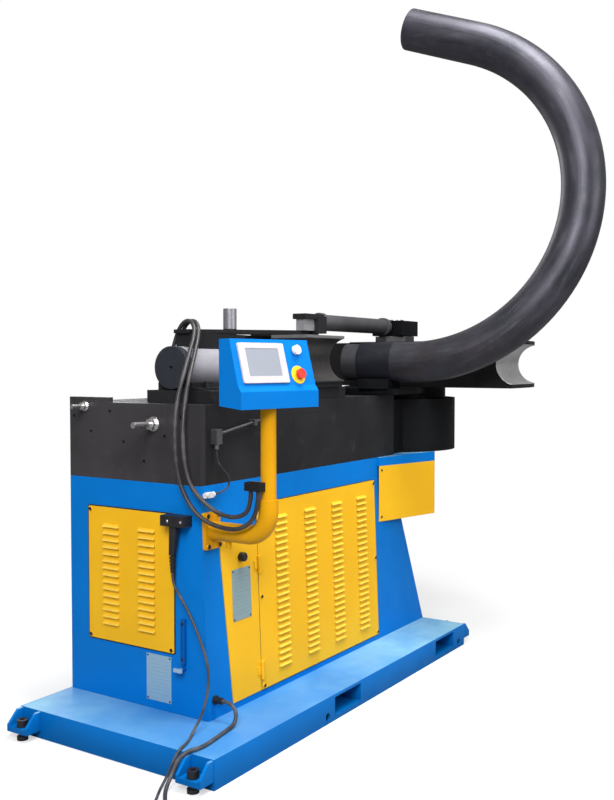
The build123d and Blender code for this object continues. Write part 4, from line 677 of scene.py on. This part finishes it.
def screw_heads(name, places, out, radius, height=0.002, finish=black_oxide):
    """Domed heads, the lower half of each sunk in the sheet.

    p(s, a) = c + r sin(s) (cos a u + sin a v) + h cos(s) k, where k looks out of the sheet.
    """
    out = np.array(out, float) / np.linalg.norm(out)
    across = np.cross(out, askew)
    across /= np.linalg.norm(across)
    plane = np.array([across, np.cross(out, across)])
    dome = np.linspace(0, np.pi, dome_rows)
    angle = np.linspace(0, 2 * np.pi, dome_columns, endpoint=False)
    ring = np.c_[np.cos(angle), np.sin(angle)] @ plane
    head = radius * np.sin(dome)[:, None, None] * ring[None] + height * np.cos(dome)[:, None, None] * out
    for number, place in enumerate(places):
        grid_piece(f"{name}_{number + 1}", np.array(place) + head, finish)


# Seals round the louvred covers: dark rubber bands that also stand in for the shadow along the covers' edges

cabinet_mid, cabinet_size = span_of("cabinet", world_origin, axes)
cabinet_end_x = cabinet_mid[0] - cabinet_size[0] / 2
cover_t = 0.003
seal_and_shadow_gap = 0.0025
side_seal_and_shadow_out = 0.0012
end_seal_and_shadow_at = (cabinet_end_x - cover_t / 2, *end_mid)
side_seal_and_shadow_at = on_side(*side_mid, side_seal_and_shadow_out)
seal("end_seal_and_shadow", end_seal_and_shadow_at, -axes[1], axes[2], end_size + seal_and_shadow_gap, corner=0.007, radius=0.0024)
seal("side_seal_and_shadow", side_seal_and_shadow_at, side_x, side_up, side_size + seal_and_shadow_gap, corner=0.003, radius=0.0018)


# Screws and bolts: heads that cap the modelled screws, or stand alone

end_out = -axes[0]
screw_r = 0.0062
stub_h = 0.004
proud = 0.0001
screw_out = cover_t + stub_h + proud
end_inset = 0.011
side_inset = 0.012
end_screw_y, end_screw_z = end_size / 2 - end_inset
end_screws = [
    (cabinet_end_x - screw_out, end_mid[0] + y, end_mid[1] + z)
    for y in (-end_screw_y, end_screw_y)
    for z in (-end_screw_z, end_screw_z)
]
screw_heads("end_screw", end_screws, end_out, screw_r)

side_screw_x, side_screw_up = side_size / 2 - side_inset
side_screws = [
    on_side(side_mid[0] + x, side_mid[1] + up, screw_out)
    for x in (-side_screw_x, side_screw_x)
    for up in (-side_screw_up, 0.0, side_screw_up)
]
screw_heads("side_screw", side_screws, side_out, screw_r)

flange_x = -0.607
flange_up = 0.601
flange_out = 0.018
flange_half_x = 0.028
flange_half_up = 0.048
flange_bolts = [
    on_side(flange_x + x, flange_up + up, flange_out + proud)
    for x in (-flange_half_x, flange_half_x)
    for up in (-flange_half_up, flange_half_up)
]
screw_heads("flange_bolt", flange_bolts, side_out, radius=0.0076)

box_left = np.array((0.492, -0.19, 0))
box_right = np.array((0.837, -0.277, 0))
box_along = (box_right - box_left) / np.linalg.norm(box_right - box_left)
box_out = np.cross(box_along, axes[2])
box_mid, box_size = span_of("head_cover", world_origin, axes)
box_inset = 0.018
box_screw_z = box_size[2] / 2 - box_inset
cover_screws = [
    box_left + box_inset * box_along + (box_mid[2] + z) * axes[2]
    for z in (-box_screw_z, box_screw_z)
]
screw_heads("cover_screw", cover_screws, box_out, radius=0.0055)

gauge_depth = 0.012
gauge_x = cabinet_end_x - gauge_depth - 2 * proud
gauge_y = -0.111
gauge_ends_z = (0.276, 0.392)
gauge_screws = [(gauge_x, gauge_y, z) for z in gauge_ends_z]
screw_heads("gauge_screw", gauge_screws, end_out, radius=0.0052)

connector_mid, connector_size = span_of("connector_base", world_origin, axes)
connector_x = connector_mid[0] - connector_size[0] / 2 - proud
latch_ends_y = (-0.134, -0.08)
latch_screws = [(connector_x, y, connector_mid[2]) for y in latch_ends_y]
screw_heads("connector_screw", latch_screws, end_out, radius=0.005, height=0.0018, finish=bright)


# Cables, each shaped by its route's points

coil_loops = 3
coil_tail = 0.036
half_turn_steps = 8
tie_t = 0.0002
tie_breadth = 0.004

# The coil's spread and outer radius are in cord diameters, and the tie's room is in cord radii
coil_spread = 1.25
coil_outer = 7.3
tie_room = 2.6


def cable_finish(name, colour, bloom):
    """Rubber sheath with a faint bloom of dust and fine scuffs."""
    material, tree, shader, place = start(name)
    cloud = noise(tree, place, 18.0, detail=5)
    tone = mix(tree, ramp(tree, cloud, 0.42, 0.75, 0.0, 0.6), colour, bloom)
    tree.links.new(tone, shader.inputs["Base Color"])
    tree.links.new(ramp(tree, cloud, 0.3, 0.7, 0.37, 0.6), shader.inputs["Roughness"])
    scuffs = noise(tree, place, 600.0, detail=2)
    relief(tree, shader, scuffs, strength=0.15, depth=0.0003)
    return material


def cable(name, route, radius, finish, replaced):
    """Smooth tube: a quadratic spline with the route's points as its control points."""
    curve = bpy.data.curves.new(name, "CURVE")
    curve.dimensions = "3D"
    curve.bevel_depth = radius
    curve.bevel_resolution = 6
    curve.use_fill_caps = True
    curve.resolution_u = 8
    line = curve.splines.new("NURBS")
    line.points.add(len(route) - 1)
    line.points.foreach_set("co", np.c_[route, np.ones(len(route))].ravel())
    line.order_u = 3
    line.use_endpoint_u = True
    curve.materials.append(finish)
    made = bpy.data.objects.new(name, curve)
    scene.collection.objects.link(made)
    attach(made, "machine")
    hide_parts(*replaced)
    return made


def coil_plan(route, radius):
    """Directions along and across the route's end, coil's centre, step between turns and largest radius."""
    heading = route[-1] - route[-2]
    heading /= np.linalg.norm(heading)
    across = np.array([-heading[1], heading[0], 0])
    outer_r = 2 * radius * coil_outer
    centre = route[-1] + heading * 2 * radius - across * outer_r
    return heading, across, centre, 2 * radius * coil_spread, outer_r


def coil_points(route, radius):
    """Route with its coil: half circles that spiral in, climb one layer and spiral out, then a tail."""
    heading, across, centre, step, outer_r = coil_plan(route, radius)
    half = np.arange(2 * coil_loops + 1)
    reach_in = outer_r - half * step / 2
    reach_out = reach_in[-1] + np.arange(2 * coil_loops + 2) * step / 2
    reach = np.r_[reach_in, reach_out]
    lift = np.r_[np.zeros(len(reach_in)), np.full(len(reach_out), step)]
    sign = (-1.0) ** np.arange(len(reach))
    ends = centre + across * (sign * reach)[:, None] + axes[2] * lift[:, None]
    middle = (ends[:-1] + ends[1:]) / 2
    size = np.linalg.norm(ends[1:] - ends[:-1], axis=1) / 2
    angle = np.linspace(0, np.pi, half_turn_steps, endpoint=False)
    turn = (
        middle[:, None]
        + (ends[:-1] - middle)[:, None] * np.cos(angle)[None, :, None]
        + (heading * (sign[:-1] * size)[:, None])[:, None] * np.sin(angle)[None, :, None]
    )
    return np.vstack([route, turn.reshape(-1, 3), ends[-1:], ends[-1:] + heading * coil_tail])


def coil_tie(name, route, radius):
    """Flat tie round both layers of the coil, on the side away from its ends."""
    _, across, centre, step, outer_r = coil_plan(route, radius)
    width = coil_loops * step + tie_room * radius
    low = 1.5 * tie_t
    high = centre[2] + step + radius + 2 * tie_t
    middle = centre - across * (outer_r - coil_loops * step / 2)
    middle[2] = (low + high) / 2
    size = (width, high - low)
    return seal(name, middle, across, axes[2], size, corner=radius, radius=tie_t, breadth=tie_breadth)


def hanging_cable(name, node, route, radius):
    """Cable that hangs between two fixed ends."""
    made = cable(name, route, radius, sheath, [node])


def floor_lead(name, route, radius):
    """Cord that runs to the floor, where the rest of its length lies coiled and tied, with its connector."""
    replaced = [f"{name}_cord", f"{name}_coil"]
    made = cable(f"{name}_lead", coil_points(route, radius), radius, floor_sheath, replaced)
    held = [nodes[f"{name}_connector"], coil_tie(f"{name}_tie", route, radius)]


loop_1_route = np.array([
    (-0.468, 0.098, 1.18), (-0.468, 0.098, 1.235), (-0.469, 0.08, 1.29), (-0.471, 0.058, 1.338),
    (-0.476, 0.028, 1.365), (-0.485, -0.008, 1.365), (-0.498, -0.034, 1.34), (-0.52, -0.048, 1.306),
    (-0.55, -0.062, 1.275), (-0.589, -0.08, 1.233), (-0.629, -0.096, 1.185), (-0.659, -0.106, 1.141),
    (-0.681, -0.112, 1.092), (-0.693, -0.115, 1.04), (-0.698, -0.117, 0.975), (-0.697, -0.122, 0.9),
    (-0.692, -0.14, 0.822), (-0.682, -0.195, 0.745), (-0.668, -0.265, 0.716), (-0.656, -0.345, 0.712),
    (-0.649, -0.404, 0.766), (-0.649, -0.404, 0.836),
])
loop_2_route = np.array([
    (-0.444, 0.098, 1.18), (-0.444, 0.098, 1.235), (-0.445, 0.08, 1.29), (-0.447, 0.058, 1.338),
    (-0.453, 0.028, 1.365), (-0.463, -0.008, 1.365), (-0.478, -0.036, 1.341), (-0.503, -0.053, 1.308),
    (-0.534, -0.07, 1.275), (-0.573, -0.09, 1.232), (-0.612, -0.108, 1.184), (-0.643, -0.121, 1.14),
    (-0.664, -0.13, 1.09), (-0.677, -0.134, 1.038), (-0.684, -0.138, 0.975), (-0.686, -0.146, 0.905),
    (-0.684, -0.166, 0.842), (-0.676, -0.212, 0.79), (-0.664, -0.27, 0.755), (-0.654, -0.33, 0.748),
    (-0.649, -0.376, 0.778), (-0.649, -0.376, 0.836),
])
sensor_route = np.array([
    (-0.582, -0.192, 0.948), (-0.582, -0.192, 0.912), (-0.56, -0.2, 0.88), (-0.532, -0.206, 0.856),
    (-0.53, -0.2, 0.822), (-0.56, -0.19, 0.805), (-0.596, -0.19, 0.805),
])
pedal_route = np.array([
    (-0.672, -0.083, 0.556), (-0.672, -0.083, 0.522), (-0.678, -0.121, 0.484), (-0.684, -0.168, 0.43),
    (-0.692, -0.216, 0.356), (-0.7, -0.248, 0.297), (-0.706, -0.257, 0.248), (-0.715, -0.254, 0.188),
    (-0.731, -0.243, 0.134), (-0.76, -0.238, 0.104), (-0.797, -0.256, 0.0956), (-0.836, -0.272, 0.0958),
    (-0.872, -0.283, 0.099), (-0.896, -0.281, 0.076), (-0.902, -0.27, 0.044), (-0.914, -0.264, 0.02),
    (-0.938, -0.268, 0.0065), (-0.985, -0.295, 0.0048), (-1.062, -0.346, 0.0048), (-1.146, -0.404, 0.0048),
])
power_route = np.array([
    (-0.613, -0.236597, 0.153163), (-0.613, -0.266574, 0.154333), (-0.617, -0.296, 0.132),
    (-0.64, -0.306, 0.103), (-0.69, -0.309, 0.0976), (-0.745, -0.318, 0.0974), (-0.796, -0.326, 0.0976),
    (-0.838, -0.327, 0.0982), (-0.88, -0.318, 0.102), (-0.906, -0.303, 0.084), (-0.912, -0.293, 0.05),
    (-0.93, -0.289, 0.024), (-0.962, -0.303, 0.009), (-1.008, -0.345, 0.0066), (-1.068, -0.394, 0.0066),
    (-1.128, -0.458, 0.0066), (-1.172, -0.532, 0.0066), (-1.204, -0.614, 0.0066),
])

console_cable_r = 0.007
switch_cable_r = 0.003
pedal_lead_r = 0.0043
power_lead_r = 0.006
sheath = cable_finish("black_sheath", (0.024, 0.021, 0.023, 1), (0.09, 0.08, 0.08, 1))
floor_sheath = cable_finish("dusty_sheath", (0.03, 0.03, 0.034, 1), (0.15, 0.15, 0.16, 1))
hanging_cable("console_cable_1", "loop_cable_1", loop_1_route, console_cable_r)
hanging_cable("console_cable_2", "loop_cable_2", loop_2_route, console_cable_r)
hanging_cable("switch_cable", "sensor_cable", sensor_route, switch_cable_r)
floor_lead("pedal", pedal_route, pedal_lead_r)
floor_lead("power", power_route, power_lead_r)


# Camera, matched to the photo's 614 x 800 pixels

photo_height_px = 800
focal_px = 969.3
sensor_mm = 36
eye = Vector((-3.0044, -2.1128, 1.2189))
heading = 0.5772
pitch = 0.0371
level_part = math.cos(pitch)
forward = Vector((math.cos(heading) * level_part, math.sin(heading) * level_part, -math.sin(pitch)))
right = Vector((math.sin(heading), -math.cos(heading), 0))
camera_data = bpy.data.cameras.new("camera")
camera_data.sensor_fit = "VERTICAL"
camera_data.sensor_height = sensor_mm
camera_data.lens = focal_px / photo_height_px * sensor_mm
camera = bpy.data.objects.new("camera", camera_data)
facing = Matrix((right, right.cross(forward), -forward)).transposed()
camera.matrix_world = Matrix.Translation(eye) @ facing.to_4x4()
scene.collection.objects.link(camera)
scene.camera = camera


# Backdrop and floor

white = (1, 1, 1, 1)
sky_light = 0.3
sky_seen = 1.0
floor_half = 30
floor_bounce = (0.3, 0.3, 0.31, 1)
floor_pale = (0.9, 0.9, 0.9, 1)
glow_near_r = 1.1
glow_far_r = 3.0
glow_near = 0.55
skid_half_x = 0.868
skid_half_y = 0.406
shade_inset = 0.008


def seen(tree):
    """1 for rays that show the backdrop: from the camera and through glass."""
    rays = add(tree, "ShaderNodeLightPath")
    return maths(tree, "MAXIMUM", rays.outputs["Is Camera Ray"], rays.outputs["Is Transmission Ray"])


world = bpy.data.worlds.new("studio")
scene.world = world
world.use_nodes = True
sky = world.node_tree
backdrop = sky.nodes["Background"]
backdrop.inputs["Color"].default_value = white
sky.links.new(ramp(sky, seen(sky), 0, 1, sky_light, sky_seen), backdrop.inputs["Strength"])

floor_corners = [(floor_half * x, floor_half * y, 0) for x, y in ((-1, -1), (1, -1), (1, 1), (-1, 1))]
floor_mesh = bpy.data.meshes.new("floor")
floor_mesh.from_pydata(floor_corners, [], [(0, 1, 2, 3)])
floor = bpy.data.objects.new("floor", floor_mesh)
scene.collection.objects.link(floor)

# The floor glows for seen rays, more so far out, but not in the dark under the skid
floor_finish, tree, shader, place = start("pale_floor")
tree.links.new(mix(tree, seen(tree), floor_bounce, floor_pale), shader.inputs["Base Color"])
shader.inputs["Roughness"].default_value = 0.9
shade_x = skid_half_x - shade_inset
shade_y = skid_half_y - shade_inset
under_skid = box_mask(tree, place, (-shade_x, -shade_y, None), (shade_x, shade_y, None))
shown = times(tree, seen(tree), minus(tree, 1.0, under_skid))
distance = measure(tree, "DISTANCE", place, world_origin)
fade = times(tree, ramp(tree, distance, glow_near_r, glow_far_r, glow_near, 1.0), shown)
glow = add(tree, "ShaderNodeEmission", Color=white)
blend = add(tree, "ShaderNodeMixShader", Fac=fade)
tree.links.new(shader.outputs[0], blend.inputs[1])
tree.links.new(glow.outputs[0], blend.inputs[2])
tree.links.new(blend.outputs[0], tree.nodes["Material Output"].inputs["Surface"])
floor_mesh.materials.append(floor_finish)


# Studio light


def softbox(name, place, target, size, power):
    """Square area lamp that looks from place to target."""
    data = bpy.data.lights.new(name, "AREA")
    data.size = size
    data.energy = power
    lamp = bpy.data.objects.new(name, data)
    aim = Vector(target) - Vector(place)
    facing = aim.to_track_quat("-Z", "Y").to_matrix()
    lamp.matrix_world = Matrix.Translation(Vector(place)) @ facing.to_4x4()
    scene.collection.objects.link(lamp)


softbox("key", (-4.2, -2.2, 3.6), (0, -0.1, 0.9), size=2.2, power=268)
softbox("side", (0.6, -5.0, 2.6), (0.1, 0, 0.8), size=2.4, power=84)
softbox("top", (0.0, -1.4, 5.4), (0.1, -0.2, 0.6), size=2.2, power=310)
softbox("rear", (2.6, 4.6, 3.2), (0.1, 0, 0.8), size=2.6, power=75)

bpy.context.view_layer.update()
